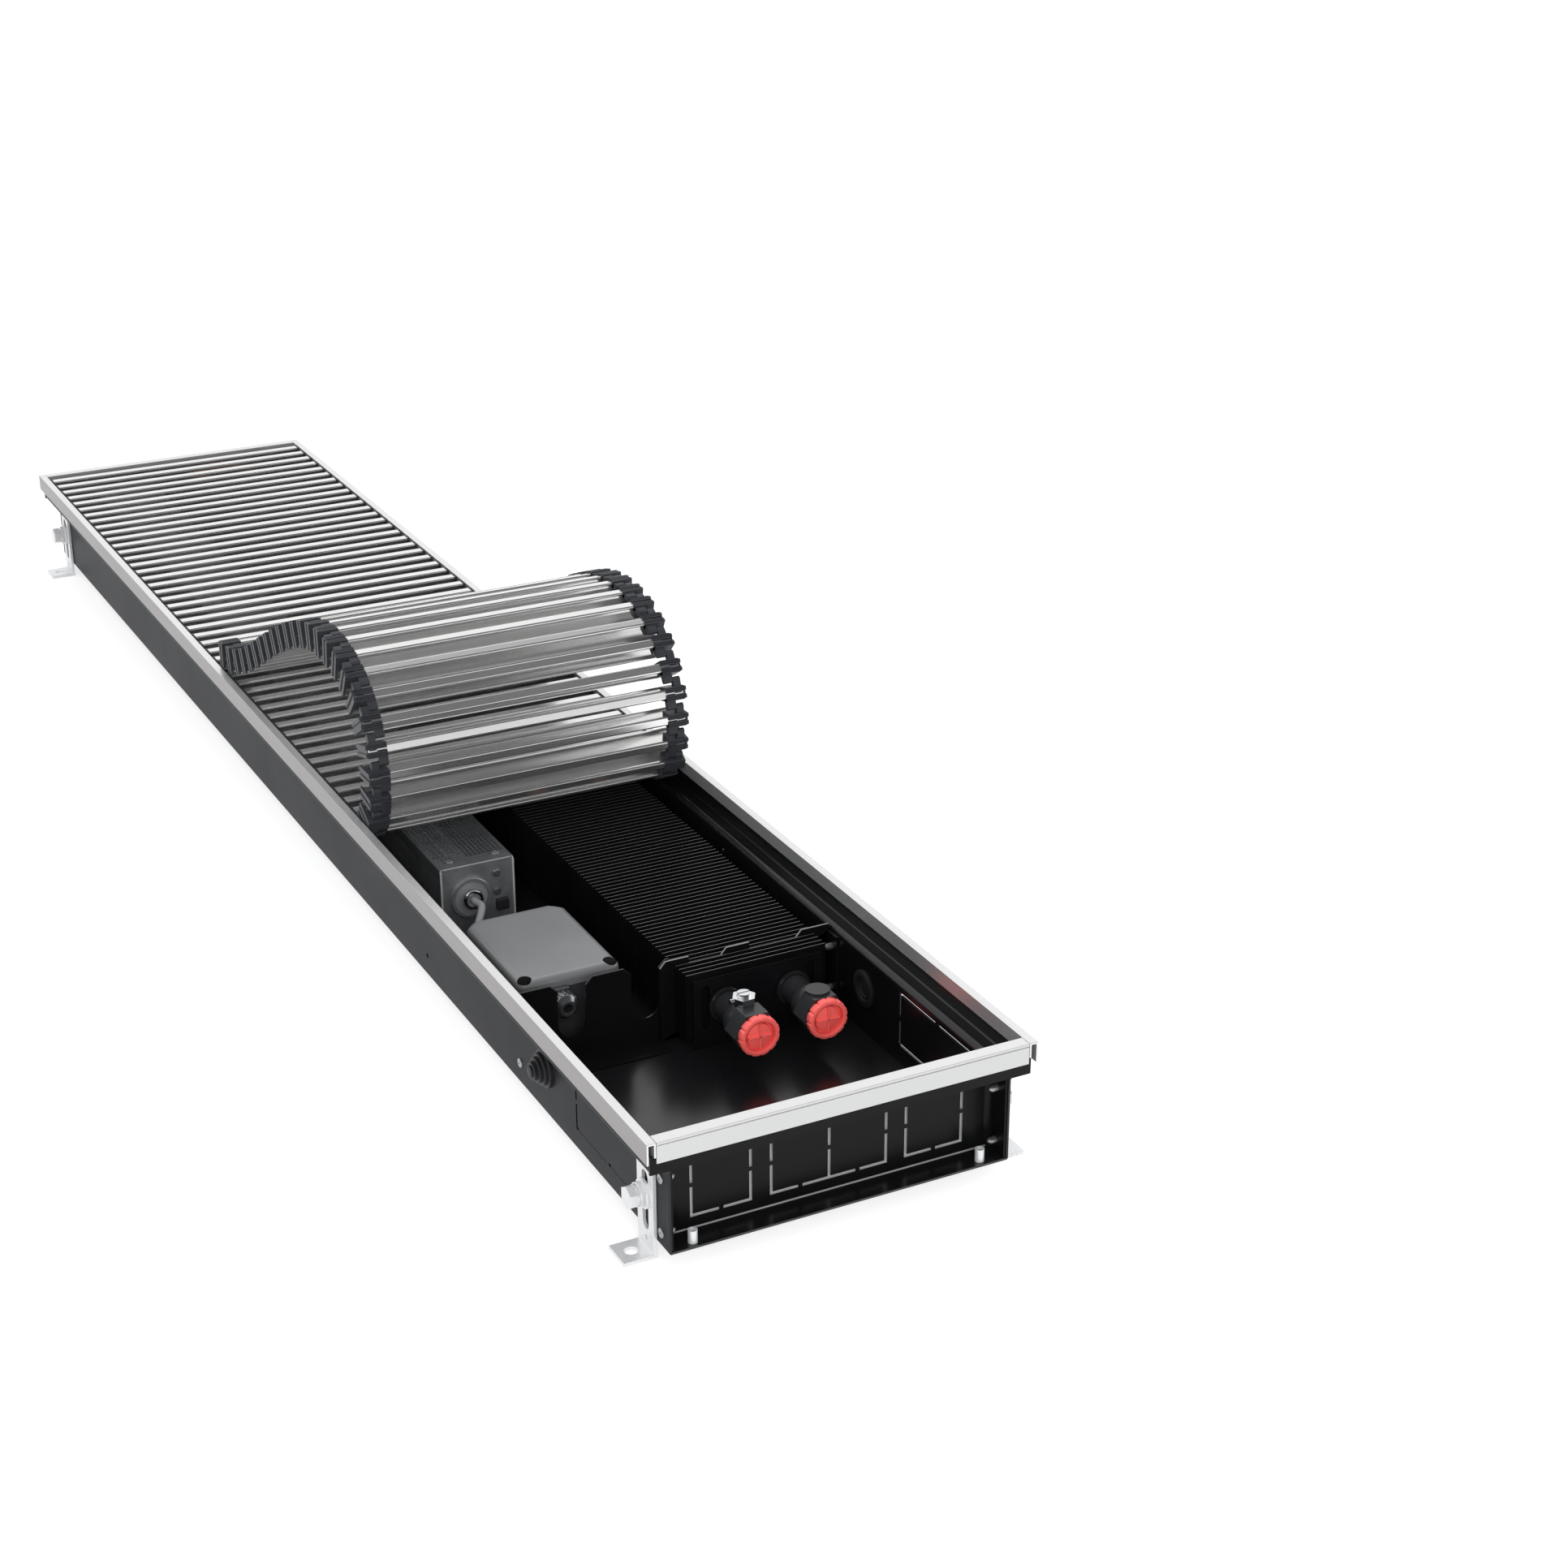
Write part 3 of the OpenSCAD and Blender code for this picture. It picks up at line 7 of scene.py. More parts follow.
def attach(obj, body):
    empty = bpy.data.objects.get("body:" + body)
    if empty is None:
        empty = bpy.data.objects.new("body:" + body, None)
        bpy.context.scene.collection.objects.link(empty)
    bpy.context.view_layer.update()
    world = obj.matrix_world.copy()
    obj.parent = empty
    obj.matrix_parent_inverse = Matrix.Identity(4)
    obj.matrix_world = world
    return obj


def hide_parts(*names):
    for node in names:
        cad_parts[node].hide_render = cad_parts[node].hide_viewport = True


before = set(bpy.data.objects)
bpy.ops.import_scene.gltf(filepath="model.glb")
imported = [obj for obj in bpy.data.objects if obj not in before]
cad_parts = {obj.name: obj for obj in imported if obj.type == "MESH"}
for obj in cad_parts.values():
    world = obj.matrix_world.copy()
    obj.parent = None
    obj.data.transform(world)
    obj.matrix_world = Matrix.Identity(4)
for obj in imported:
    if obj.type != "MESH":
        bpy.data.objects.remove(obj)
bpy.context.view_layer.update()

# Camera: stands in front of the connection end, to the left of the duct and about three times its
# width above it, and looks down its length.
def hung(name, data):
    """A new object with the data, hung in the scene."""
    made = bpy.data.objects.new(name, data)
    bpy.context.scene.collection.objects.link(made)
    return made


look_down, look_right = 23.8735, 27.451
camera_data = bpy.data.cameras.new("camera")
camera_data.lens = 63.98
camera_data.sensor_width = 36
camera = hung("camera", camera_data)
camera.location = (-0.6896, -1.9505, 0.9196)
camera.rotation_euler = (math.radians(90 - look_down), 0, math.radians(-look_right))
bpy.context.scene.camera = camera
bpy.context.scene.view_settings.view_transform = "Standard"

# Studio: a white floor that keeps a faint shadow, a surround that is white where it is seen and round the
# horizon in reflections, dark high in front, and large soft lamps.
def added(tree, kind, inputs=None, operation=None):
    """A new node in the tree, with the values of its inputs and its operation."""
    node = tree.nodes.new(kind)
    if operation:
        node.operation = operation
    for label, value in (inputs or {}).items():
        node.inputs[label].default_value = value
    return node


def wire(tree, *links):
    """Links nodes in the tree; each link says from which node and output to which node and input."""
    for source, out, target, into in links:
        tree.links.new(source.outputs[out], target.inputs[into])


world = bpy.data.worlds.new("surround")
bpy.context.scene.world = world
world.use_nodes = True
sky = world.node_tree
sky.nodes.clear()
ray = added(sky, "ShaderNodeLightPath")
seen_or_shiny = added(sky, "ShaderNodeMath", operation="MAXIMUM")
shows_white = added(sky, "ShaderNodeMath", operation="MAXIMUM")
ambient = added(sky, "ShaderNodeBackground", {"Color": (0.95, 0.97, 1.0, 1), "Strength": 0.72})
white = added(sky, "ShaderNodeBackground", {"Color": (1, 1, 1, 1)})
way = added(sky, "ShaderNodeTexCoord")
high_in_front = Vector((0.1, -0.5, 0.86)).normalized()
toward = added(sky, "ShaderNodeVectorMath", {1: high_in_front}, "DOT_PRODUCT")
dim_high = added(sky, "ShaderNodeMapRange",
                 {"From Min": 0.50, "From Max": 0.85, "To Min": 1.0, "To Max": 0.10})
dim_high.interpolation_type = "SMOOTHSTEP"
seen_whole = added(sky, "ShaderNodeMath", operation="MAXIMUM")
either = added(sky, "ShaderNodeMixShader")
world_out = added(sky, "ShaderNodeOutputWorld")
wire(sky,
     (ray, "Is Camera Ray", seen_or_shiny, 0),
     (ray, "Is Glossy Ray", seen_or_shiny, 1),
     (seen_or_shiny, 0, shows_white, 0),
     (ray, "Is Transmission Ray", shows_white, 1),
     (way, "Generated", toward, 0),
     (toward, "Value", dim_high, "Value"),
     (dim_high, "Result", seen_whole, 0),
     (ray, "Is Camera Ray", seen_whole, 1),
     (seen_whole, 0, white, "Strength"),
     (shows_white, 0, either, 0),
     (ambient, 0, either, 1),
     (white, 0, either, 2),
     (either, 0, world_out, 0))


def soft_lamp(name, place, aim, width, length, power, shows=True):
    """A rectangular lamp at a place, turned to its aim; shows says whether shiny surfaces mirror it."""
    lamp = bpy.data.lights.new(name, "AREA")
    lamp.shape = "RECTANGLE"
    lamp.size, lamp.size_y, lamp.energy = width, length, power
    holder = hung(name, lamp)
    holder.location = place
    holder.rotation_euler = (Vector(aim) - Vector(place)).to_track_quat("-Z", "Y").to_euler()
    holder.visible_glossy = shows


soft_lamp("lamp_over", (-0.2, 0.9, 2.4), (0, 0.2, 0), 3.0, 3.6, 34, shows=False)
soft_lamp("lamp_front", (-0.9, -2.6, 1.2), (0, -0.4, 0), 1.6, 1.0, 34, shows=False)
soft_lamp("lamp_right", (1.9, 0.1, 0.9), (0, 0, 0.05), 2.2, 0.8, 6)

far = 9
floor_mesh = bpy.data.meshes.new("studio_floor")
floor_mesh.from_pydata([(-far, -far, 0), (far, -far, 0), (far, far, 0), (-far, far, 0)], [], [(0, 1, 2, 3)])
studio_floor = hung("studio_floor", floor_mesh)
studio_white = bpy.data.materials.new("studio_white")
studio_white.use_nodes = True
pale = studio_white.node_tree
pale.nodes.clear()
lit = added(pale, "ShaderNodeBsdfDiffuse", {"Color": (0.4, 0.4, 0.4, 1)})
glow = added(pale, "ShaderNodeEmission", {"Strength": 0.74})
both = added(pale, "ShaderNodeAddShader")
only_seen = added(pale, "ShaderNodeLightPath")
plain = added(pale, "ShaderNodeMixShader")
pale_out = added(pale, "ShaderNodeOutputMaterial")
seen = added(pale, "ShaderNodeMath", operation="MAXIMUM")
wire(pale,
     (only_seen, "Is Camera Ray", seen, 0),
     (only_seen, "Is Glossy Ray", seen, 1),
     (lit, 0, both, 0),
     (glow, 0, both, 1),
     (seen, 0, plain, 0),
     (lit, 0, plain, 1),
     (both, 0, plain, 2),
     (plain, 0, pale_out, 0))
floor_mesh.materials.append(studio_white)

# Casing: a floor sheet welded between two folded walls of 1.5 mm steel, coated in anthracite powder
# that lies a little glossy on the wide flat floor. Slits round each knock-out let light through.
mm = 0.001


def finish(name, colour, rough, metal=0.0, vary=0.08, mottle=14.0, grain=1500.0, relief=0.02,
           brushed=(1, 1, 1), ior=1.45):
    """A surface whose colour and roughness change softly over it, with a fine grain in its relief."""
    made = bpy.data.materials.new(name)
    made.use_nodes = True
    tree = made.node_tree
    shader = tree.nodes["Principled BSDF"]
    shader.inputs["Metallic"].default_value = metal
    shader.inputs["IOR"].default_value = ior
    place = added(tree, "ShaderNodeTexCoord")
    drawn = added(tree, "ShaderNodeMapping", {"Scale": brushed})
    broad = added(tree, "ShaderNodeTexNoise", {"Scale": mottle, "Detail": 4})
    fine = added(tree, "ShaderNodeTexNoise", {"Scale": grain, "Detail": 3})
    tint = added(tree, "ShaderNodeValToRGB")
    tint.color_ramp.elements[0].position = 0.3
    tint.color_ramp.elements[1].position = 0.7
    tint.color_ramp.elements[0].color = [c * (1 - vary) for c in colour] + [1]
    tint.color_ramp.elements[1].color = [min(1, c * (1 + vary)) for c in colour] + [1]
    blend = added(tree, "ShaderNodeMath", operation="ADD")
    dull = added(tree, "ShaderNodeMapRange", {"From Min": 0.6, "From Max": 1.4, "To Min": rough * 0.86,
                                              "To Max": min(1, rough * 1.14)})
    raised = added(tree, "ShaderNodeBump", {"Strength": relief, "Distance": 0.4 * mm})
    wire(tree,
         (place, "Object", drawn, "Vector"),
         (place, "Object", broad, "Vector"),
         (drawn, "Vector", fine, "Vector"),
         (broad, "Fac", tint, "Fac"),
         (tint, "Color", shader, "Base Color"),
         (broad, "Fac", blend, 0),
         (fine, "Fac", blend, 1),
         (blend, 0, dull, "Value"),
         (dull, "Result", shader, "Roughness"),
         (fine, "Fac", raised, "Height"),
         (raised, "Normal", shader, "Normal"))
    return made


def settled(work, mesh):
    """Writes the worked shape into the mesh and lets go of the work."""
    work.to_mesh(mesh)
    work.free()
    return mesh


def taken(holder):
    """The holder's shape with its modifiers applied, as a plain mesh; the holder itself goes."""
    bpy.context.view_layer.update()
    mesh = bpy.data.meshes.new_from_object(holder.evaluated_get(bpy.context.evaluated_depsgraph_get()))
    bpy.data.objects.remove(holder)
    return mesh


def softened(mesh, width, steps=2, pick=lambda at: 1.0, angle=30):
    """The same mesh with its sharp edges rounded; pick gives the share of the width by an edge's middle."""
    work = bmesh.new()
    work.from_mesh(mesh)
    layers, label = work.edges.layers.float, "bevel_weight_edge"
    weights = layers.get(label) or layers.new(label)
    for edge in work.edges:
        sharp = len(edge.link_faces) == 2 and edge.calc_face_angle(0) > math.radians(angle)
        edge[weights] = pick((edge.verts[0].co + edge.verts[1].co) / 2) if sharp else 0
        edge.smooth = not sharp
    for face in work.faces:
        face.smooth = True
    holder = hung("to_soften", settled(work, mesh))
    bevel = holder.modifiers.new("bevel", "BEVEL")
    bevel.width, bevel.segments, bevel.limit_method = width * mm, steps, "WEIGHT"
    bevel.harden_normals = True
    return taken(holder)


doubles, flat_angle = 2e-6, math.radians(0.4)


def made_whole(work):
    """Merges the shape's doubles and makes its flat faces whole."""
    bmesh.ops.remove_doubles(work, verts=work.verts, dist=doubles)
    bmesh.ops.dissolve_limit(work, angle_limit=flat_angle, verts=work.verts, edges=work.edges)


def copied(node):
    """The CAD node's own mesh with its doubles merged and its flat faces made whole."""
    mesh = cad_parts[node].data.copy()
    mesh.materials.clear()
    for name in [a.name for a in mesh.attributes if a.name in ("custom_normal", "sharp_face")]:
        mesh.attributes.remove(mesh.attributes[name])
    work = bmesh.new()
    work.from_mesh(mesh)
    made_whole(work)
    return settled(work, mesh)


def fit(name, mesh, finishes, body, slot, *stands_for):
    """Hangs a finished mesh in the scene on the body that it moves with."""
    mesh.name = name
    which = [face.material_index for face in mesh.polygons]
    mesh.materials.clear()
    for made in finishes:
        mesh.materials.append(made)
    mesh.polygons.foreach_set("material_index", which)
    piece = hung(name, mesh)
    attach(piece, body)
    if stands_for:
        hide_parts(*stands_for)


def refit(node, name, width, steps, made, slot, body="duct"):
    """Fits the CAD node's own shape, with its edges rounded and in a better finish."""
    fit(name, softened(copied(node), width, steps), [made], body, slot, node)


def faced(mesh, test):
    """The mesh with its second finish on the faces that the test picks by their middle and their normal."""
    for face in mesh.polygons:
        face.material_index = int(test(face.center, face.normal))
    return mesh


def folded_side(side):
    """The wall, ledge and upstand of one side as the one folded sheet that they are."""
    whole, cuts = bmesh.new(), (118.5 * mm, 125 * mm)
    for part in ("wall", "ledge", "upstand"):
        whole.from_mesh(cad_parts["casing_%s_%s" % (part, side)].data)
    bmesh.ops.remove_doubles(whole, verts=whole.verts, dist=doubles)
    between = [f for f in whole.faces if abs(f.normal.x) > 0.99
               and min(abs(abs(f.calc_center_median().x) - cut) for cut in cuts) < 0.01 * mm]
    bmesh.ops.delete(whole, geom=between, context="FACES_ONLY")
    made_whole(whole)
    return settled(whole, bpy.data.meshes.new("folded_side"))


black_coat = finish("black_coat", (0.0045, 0.0047, 0.0052), 0.20, vary=0.10, grain=2600, relief=0.03)
# The walls' outer faces take a lighter copy of the same coat: painted light where the lamps fall on the
# walls.
lit_wall_coat = finish("lit_wall_coat", (0.022, 0.023, 0.027), 0.42, vary=0.06, grain=2600, relief=0.03, ior=1.16)
floor_coat = finish("floor_coat", (0.007, 0.0072, 0.008), 0.23, vary=0.10, grain=2600, relief=0.03,
                    ior=1.65)
wall_out, sheet_edge = 115.5, 0.35
refit("casing_floor", "casing_floor_sheet", sheet_edge, 2, floor_coat, "black_coat")
for side in ("left", "right"):
    sheet = faced(folded_side(side), lambda at, out: abs(at.x) > (wall_out - 0.7) * mm and abs(out.x) > 0.9
                  and out.x * at.x > 0)
    fit("casing_side_" + side, softened(sheet, sheet_edge), [black_coat, lit_wall_coat], "duct", "black_coat",
        "casing_wall_" + side, "casing_ledge_" + side, "casing_upstand_" + side)

# End plates: one folded sheet at each end, set back behind the frame and riveted to the walls. At the
# connection end it is welded to the floor, and a thin grey sheet just behind its four slitted windows
# paints light into the slits.
plate_coat = finish("plate_coat", (0.0045, 0.0046, 0.005), 0.33, vary=0.10, grain=2600, relief=0.04,
                    ior=1.25)
cut_edge = finish("cut_edge", (0.52, 0.52, 0.52), 0.5, metal=0.3, vary=0.05, mottle=60, grain=1500,
                  relief=0.04)


def drawn_out(outline, start, end, along):
    """A solid with the outline, in millimetres, drawn out along X, Y or Z from start to end."""
    mesh = bpy.data.meshes.new("drawn_out")
    count = len(outline)
    put = {"x": lambda a, b, c: (c, a, b), "y": lambda a, b, c: (a, c, b),
           "z": lambda a, b, c: (a, b, c)}[along]
    points = [[q * mm for q in put(a, b, c)] for c in (start, end) for a, b in outline]
    sides = [(i, (i + 1) % count, count + (i + 1) % count, count + i) for i in range(count)]
    mesh.from_pydata(points, [], sides + [tuple(range(count)), tuple(range(2 * count - 1, count - 1, -1))])
    work = bmesh.new()
    work.from_mesh(mesh)
    bmesh.ops.recalc_face_normals(work, faces=work.faces)
    return settled(work, mesh)


def in_windows(at):
    """Whether a point lies in the field of an end plate's knock-out windows."""
    return abs(at.x) < 100 * mm and 16 * mm < at.z < 66 * mm


plate_mid = 681.25 * mm
for node in ("front_end_plate", "rear_end_plate"):
    plate = faced(copied(node), lambda at, out: abs(abs(at.y) - plate_mid) < 0.7 * mm and abs(out.y) < 0.5
                  and in_windows(at))
    fit(node + "_sheet", softened(plate, 0.45, 2, lambda at: 0.0 if in_windows(at) else 1.0),
        [plate_coat, cut_edge], "duct", "black_coat", node)

# A light grey strip along the foot of the front plate is a painted highlight on its bend into the floor.
bend_highlight_metal = finish("bend_highlight_metal", (0.36, 0.36, 0.365), 0.45, metal=0.4, vary=0.10, mottle=60, relief=0.04)
bend_highlight_strip = drawn_out([(-682.8, 12.5), (-682, 12.5), (-682, 13.2), (-682.3, 13.2)], -112.3, 112.3, "x")
fit("front_seam", bend_highlight_strip, [bend_highlight_metal], "duct", "black_coat")
# Painted light: a grey sheet behind the front plate's slits makes them show light.
slit_light_sheet = faced(drawn_out([(-680.4, 15), (-680, 15), (-680, 67.5), (-680.4, 67.5)], -99, 99, "x"),
                lambda at, out: out.y < -0.9)
fit("window_backing", softened(slit_light_sheet, 0.1, 1), [plate_coat, cut_edge], "duct", "black_coat")

# Wall rivets: aluminium blind rivets through the walls. A flat round head with the broken-off mandrel's
# small hole shows outside, and the rounded tail inside.
rivet_metal = finish("rivet_metal", (0.38, 0.385, 0.39), 0.36, metal=0.9, mottle=60, grain=3000,
                     relief=0.04)


def turned(profile, steps=32):
    """A turned mesh about X from places along it and radii; a radius of 0 closes an end."""
    work = bmesh.new()
    rings = []
    for x, r in profile:
        if r == 0:
            rings.append([work.verts.new((x * mm, 0, 0))])
        else:
            rings.append([work.verts.new((x * mm, r * mm * math.cos(t), r * mm * math.sin(t)))
                          for t in (2 * math.pi * i / steps for i in range(steps))])
    for a, b in zip(rings, rings[1:] + rings[:1]):
        for i in range(steps if len(a) + len(b) > steps else 0):
            j = (i + 1) % steps
            corner = [a[i % len(a)], b[i % len(b)], b[j % len(b)], a[j % len(a)]]
            work.faces.new([v for n, v in enumerate(corner) if v not in corner[:n]])
    bmesh.ops.recalc_face_normals(work, faces=work.faces)
    for face in work.faces:
        face.smooth = True
    for edge in work.edges:
        edge.smooth = len(edge.link_faces) == 2 and edge.calc_face_angle(0) < math.radians(35)
    return settled(work, bpy.data.meshes.new("turned"))


def geometry_tree(name, sockets):
    """An empty geometry tree, the identifiers of its named inputs, and its input and output nodes."""
    tree = bpy.data.node_groups.new(name, "GeometryNodeTree")
    add = tree.interface.new_socket
    add("Geometry", in_out="INPUT", socket_type="NodeSocketGeometry")
    ids = {label: add(label, in_out="INPUT", socket_type="NodeSocket" + kind).identifier
           for label, kind in sockets}
    add("Geometry", in_out="OUTPUT", socket_type="NodeSocketGeometry")
    return tree, ids, tree.nodes.new("NodeGroupInput"), tree.nodes.new("NodeGroupOutput")


# The tree sets one part at every point, turned as the point says
set_tree, set_ids, set_in, set_out = geometry_tree(
    "set_parts", [("Part", "Object"), ("Part Size", "Float"), ("Finish", "Material")])
part_info = added(set_tree, "GeometryNodeObjectInfo")
part_turn = added(set_tree, "GeometryNodeInputNamedAttribute", {"Name": "turn"})
part_turn.data_type = "FLOAT_VECTOR"
on_points = added(set_tree, "GeometryNodeInstanceOnPoints")
realized = added(set_tree, "GeometryNodeRealizeInstances")
finished = added(set_tree, "GeometryNodeSetMaterial")
wire(set_tree,
     (set_in, "Part", part_info, "Object"),
     (set_in, "Geometry", on_points, "Points"),
     (part_info, "Geometry", on_points, "Instance"),
     (part_turn, "Attribute", on_points, "Rotation"),
     (set_in, "Part Size", on_points, "Scale"),
     (on_points, "Instances", realized, "Geometry"),
     (realized, "Geometry", finished, "Geometry"),
     (set_in, "Finish", finished, "Material"),
     (finished, "Geometry", set_out, "Geometry"))


def grown(base, tree, ids, part, settings):
    """The plain mesh that a geometry tree makes of a part on a base mesh; settings holds inputs by name."""
    pattern, holder = hung("pattern", part), hung("to_grow", base)
    grow = holder.modifiers.new("grow", "NODES")
    grow.node_group = tree
    grow[ids["Part"]] = pattern
    for label, value in settings.items():
        grow[ids[label]] = value
    mesh = taken(holder)
    bpy.data.objects.remove(pattern)
    return mesh


def set_at(part, places, made):
    """One mesh with the part at each place: a point and a turn about X, Y and Z."""
    base = bpy.data.meshes.new("places")
    base.from_pydata([p for p, t in places], [], [])
    turn = base.attributes.new("turn", "FLOAT_VECTOR", "POINT")
    for i, (p, t) in enumerate(places):
        turn.data[i].vector = t
    return grown(base, set_tree, set_ids, part, {"Part Size": 1.0, "Finish": made})


rivet_part = turned([(0.2, 0), (0.2, 0.7), (1.0, 0.7), (1.0, 2.4), (0.75, 3.1), (0.35, 3.3), (0, 3.3),
                     (0, 1.6), (-3.05, 1.6), (-3.05, 2.5), (-6.6, 2.4), (-7.9, 1.9), (-8.8, 0.9),
                     (-8.8, 0)], 20)


def on_wall(side, y, z):
    """A place on the outer face of the right wall for side 1 or of the left wall for side -1."""
    return (side * wall_out * mm, y * mm, z * mm), (0, 0, 0 if side > 0 else math.pi)


end_rows, side_rows, plate_y, bracket_ys = (57.5, 20.5), (57.5, 26.5), -476, (-476.3, 594.9)
rivet_places = [on_wall(side, y, z) for y in (-690, 690) for z in end_rows for side in (1, -1)]
for z in side_rows:
    rivet_places += [on_wall(-1, plate_y, z)] + [on_wall(1, y, z) for y in bracket_ys]
fit("blind_rivets", set_at(rivet_part, rivet_places, rivet_metal), [rivet_metal], "duct", "rivet_metal",
    "wall_rivets")

# Levelling feet: slotted angle brackets of 2.5 mm steel, bright zinc plated, that slide on their bolts
# until the frame stands level with the finished floor.
zinc = finish("zinc_steel", (0.86, 0.862, 0.865), 0.30, metal=0.4, vary=0.01, mottle=40, grain=400,
              relief=0.001)
for node in ("foot_front_left", "foot_front_right", "foot_rear_left", "foot_rear_right"):
    refit(node, node + "_bracket", 0.45, 3, zinc, "zinc_steel", node)

# Clamping bolts and set screws: M8 bolts with a wide washer and a lock nut through each foot's slot, and
# socket screws in the floor that lift the duct's ends.
refit("foot_bolts", "clamping_bolts", 0.4, 3, zinc, "zinc_steel")
refit("set_screws", "levelling_screws", 0.3, 2, zinc, "zinc_steel")

# Wall grommets: dark rubber, snapped into both walls; a ribbed stepped cone outside, which is cut to suit
# the cable, and a flat lip with a thin inner ring inside.
grommet_rubber = finish("grommet_rubber", (0.010, 0.0105, 0.0115), 0.5, vary=0.15, mottle=50,
                        grain=2200, relief=0.12)
cone = [(-3.0, 9.0), (-3.0, 12.4), (-2.6, 13.0), (-1.5, 13.0), (-1.5, 10.0), (0, 10.0), (0, 13.0)]
steps, step_in, step_out, rounding = 4, 2.25, 2.5, 0.5
for step in range(steps):
    r, x = 13.0 - step * step_in, (step + 1) * step_out
    cone += [(x - rounding, r), (x, r - rounding)]
    if step < steps - 1:
        cone += [(x, r - step_in)]
cone += [(10.0, 4.0), (11.0, 4.0), (11.25, 3.6), (11.25, 0), (-1.0, 0), (-1.0, 5.2), (-1.6, 5.5),
         (-1.6, 6.1), (-1.0, 6.4), (-1.0, 8.6), (-1.4, 9.0)]
grommet = turned(cone, 48)
grommet_places = [on_wall(side, -519, 44.5) for side in (1, -1)]
fit("wall_grommets_rubber", set_at(grommet, grommet_places, grommet_rubber), [grommet_rubber], "duct",
    "grommet_rubber", "wall_grommets")

# Surround frame: four extruded aluminium profiles, satin anodised, that sit over the casing's upright
# edges. The side profiles run the whole length; a fine groove runs under the end profiles' top edge.
frame_aluminium = finish("frame_aluminium", (0.80, 0.80, 0.80), 0.33, metal=0.8, vary=0.02, mottle=6,
                         grain=700, relief=0.015, brushed=(1, 0.02, 1))
# The side profiles' outer faces and the end profiles' outer faces take darker copies of the same anodising:
# painted shade for how the light falls on them.
shaded_side_aluminium = finish("shaded_side_aluminium", (0.33, 0.318, 0.314), 0.38, metal=0.8, vary=0.03, mottle=6,
                        grain=700, relief=0.015, brushed=(1, 0.02, 1))
shaded_end_aluminium = finish("shaded_end_aluminium", (0.64, 0.64, 0.64), 0.36, metal=0.8, vary=0.02, mottle=6,
                       grain=700, relief=0.015, brushed=(0.02, 1, 1))


def profile_outline(wide, groove):
    """The profile's section, in millimetres, from its outer face inwards: across it and up."""
    top, thick, high, inner = 92.5, 1.3, 14.0, 10.0
    outline = [(0, top - high)]
    if groove:
        outline += [(0, top - 2.4), (0.7, top - 2.3), (0.7, top - 1.8), (0, top - 1.7)]
    return outline + [(0, top), (wide, top), (wide, top - inner), (wide - thick, top - inner),
                      (wide - thick, top - thick), (thick, top - thick), (thick, top - high)]


half_wide, half_long, profile_edge = 131, 706, 0.25
for side, way in (("left", 1), ("right", -1)):
    outline = [(way * (x - half_wide), z) for x, z in profile_outline(6, False)]
    bar = faced(drawn_out(outline, -half_long, half_long, "y"),
                lambda at, out: abs(at.x) > (half_wide - 0.5) * mm and abs(out.x) > 0.9)
    fit("side_profile_" + side, softened(bar, profile_edge), [frame_aluminium, shaded_side_aluminium], "duct",
        "frame_aluminium", "frame_" + side)
for node, way in (("frame_front", 1), ("frame_rear", -1)):
    outline = [(way * (y - half_long), z) for y, z in profile_outline(9, True)]
    bar = faced(drawn_out(outline, -124.7, 124.7, "x"),
                lambda at, out: abs(at.y) > (half_long - 1) * mm and abs(out.y) > 0.7)
    bar = softened(bar, profile_edge, 2, lambda at: 0.2 if 89 * mm < at.z < 92 * mm else 1.0)
    fit(node + "_profile", bar, [frame_aluminium, shaded_end_aluminium], "duct", "frame_aluminium", node)

# Heat exchanger fins: thin black-coated aluminium sheets with pressed waves, threaded on the two tubes
# 5.2 mm apart. Their cut top edges are bare and bright.
fin_coating = finish("fin_coating", (0.004, 0.0041, 0.0045), 0.36, vary=0.15, mottle=30, grain=1200,
                     relief=0.0, ior=1.3)
fin_edge = finish("fin_edge", (0.17, 0.17, 0.175), 0.4, metal=0.5, vary=0.02, mottle=90, grain=1200,
                  relief=0.02)


def smooth_by_angle(mesh, angle):
    """The mesh shaded smooth, except over edges sharper than the angle."""
    mesh.shade_smooth()
    mesh.set_sharp_from_angle(angle=math.radians(angle))
    return mesh


def pressed_fin():
    """One fin: waves from edge to edge, run out flat below the straight top and bottom edges."""
    waves, per_wave, x0, x1, t = 8, 4, -2.2, 101.4, 0.5
    levels = ((17.5, 0.0), (26.0, 0.6), (54.0, 0.6), (67.5, 0.0))
    count = waves * per_wave
    work = bmesh.new()
    grid = [[[work.verts.new(((x0 + (x1 - x0) * i / count) * mm,
                              (side * t / 2 + deep * math.sin(2 * math.pi * i / per_wave)) * mm, z * mm))
              for z, deep in levels] for i in range(count + 1)] for side in (-1, 1)]
    for face in grid:
        for i in range(count):
            for k in range(len(levels) - 1):
                work.faces.new([face[i][k], face[i + 1][k], face[i + 1][k + 1], face[i][k + 1]])
    for i in range(count):
        for k in (0, -1):
            work.faces.new([grid[0][i][k], grid[0][i + 1][k], grid[1][i + 1][k], grid[1][i][k]])
    for k in range(len(levels) - 1):
        for i in (0, -1):
            work.faces.new([grid[0][i][k], grid[0][i][k + 1], grid[1][i][k + 1], grid[1][i][k]])
    bmesh.ops.recalc_face_normals(work, faces=work.faces)
    return smooth_by_angle(settled(work, bpy.data.meshes.new("fin")), 50)


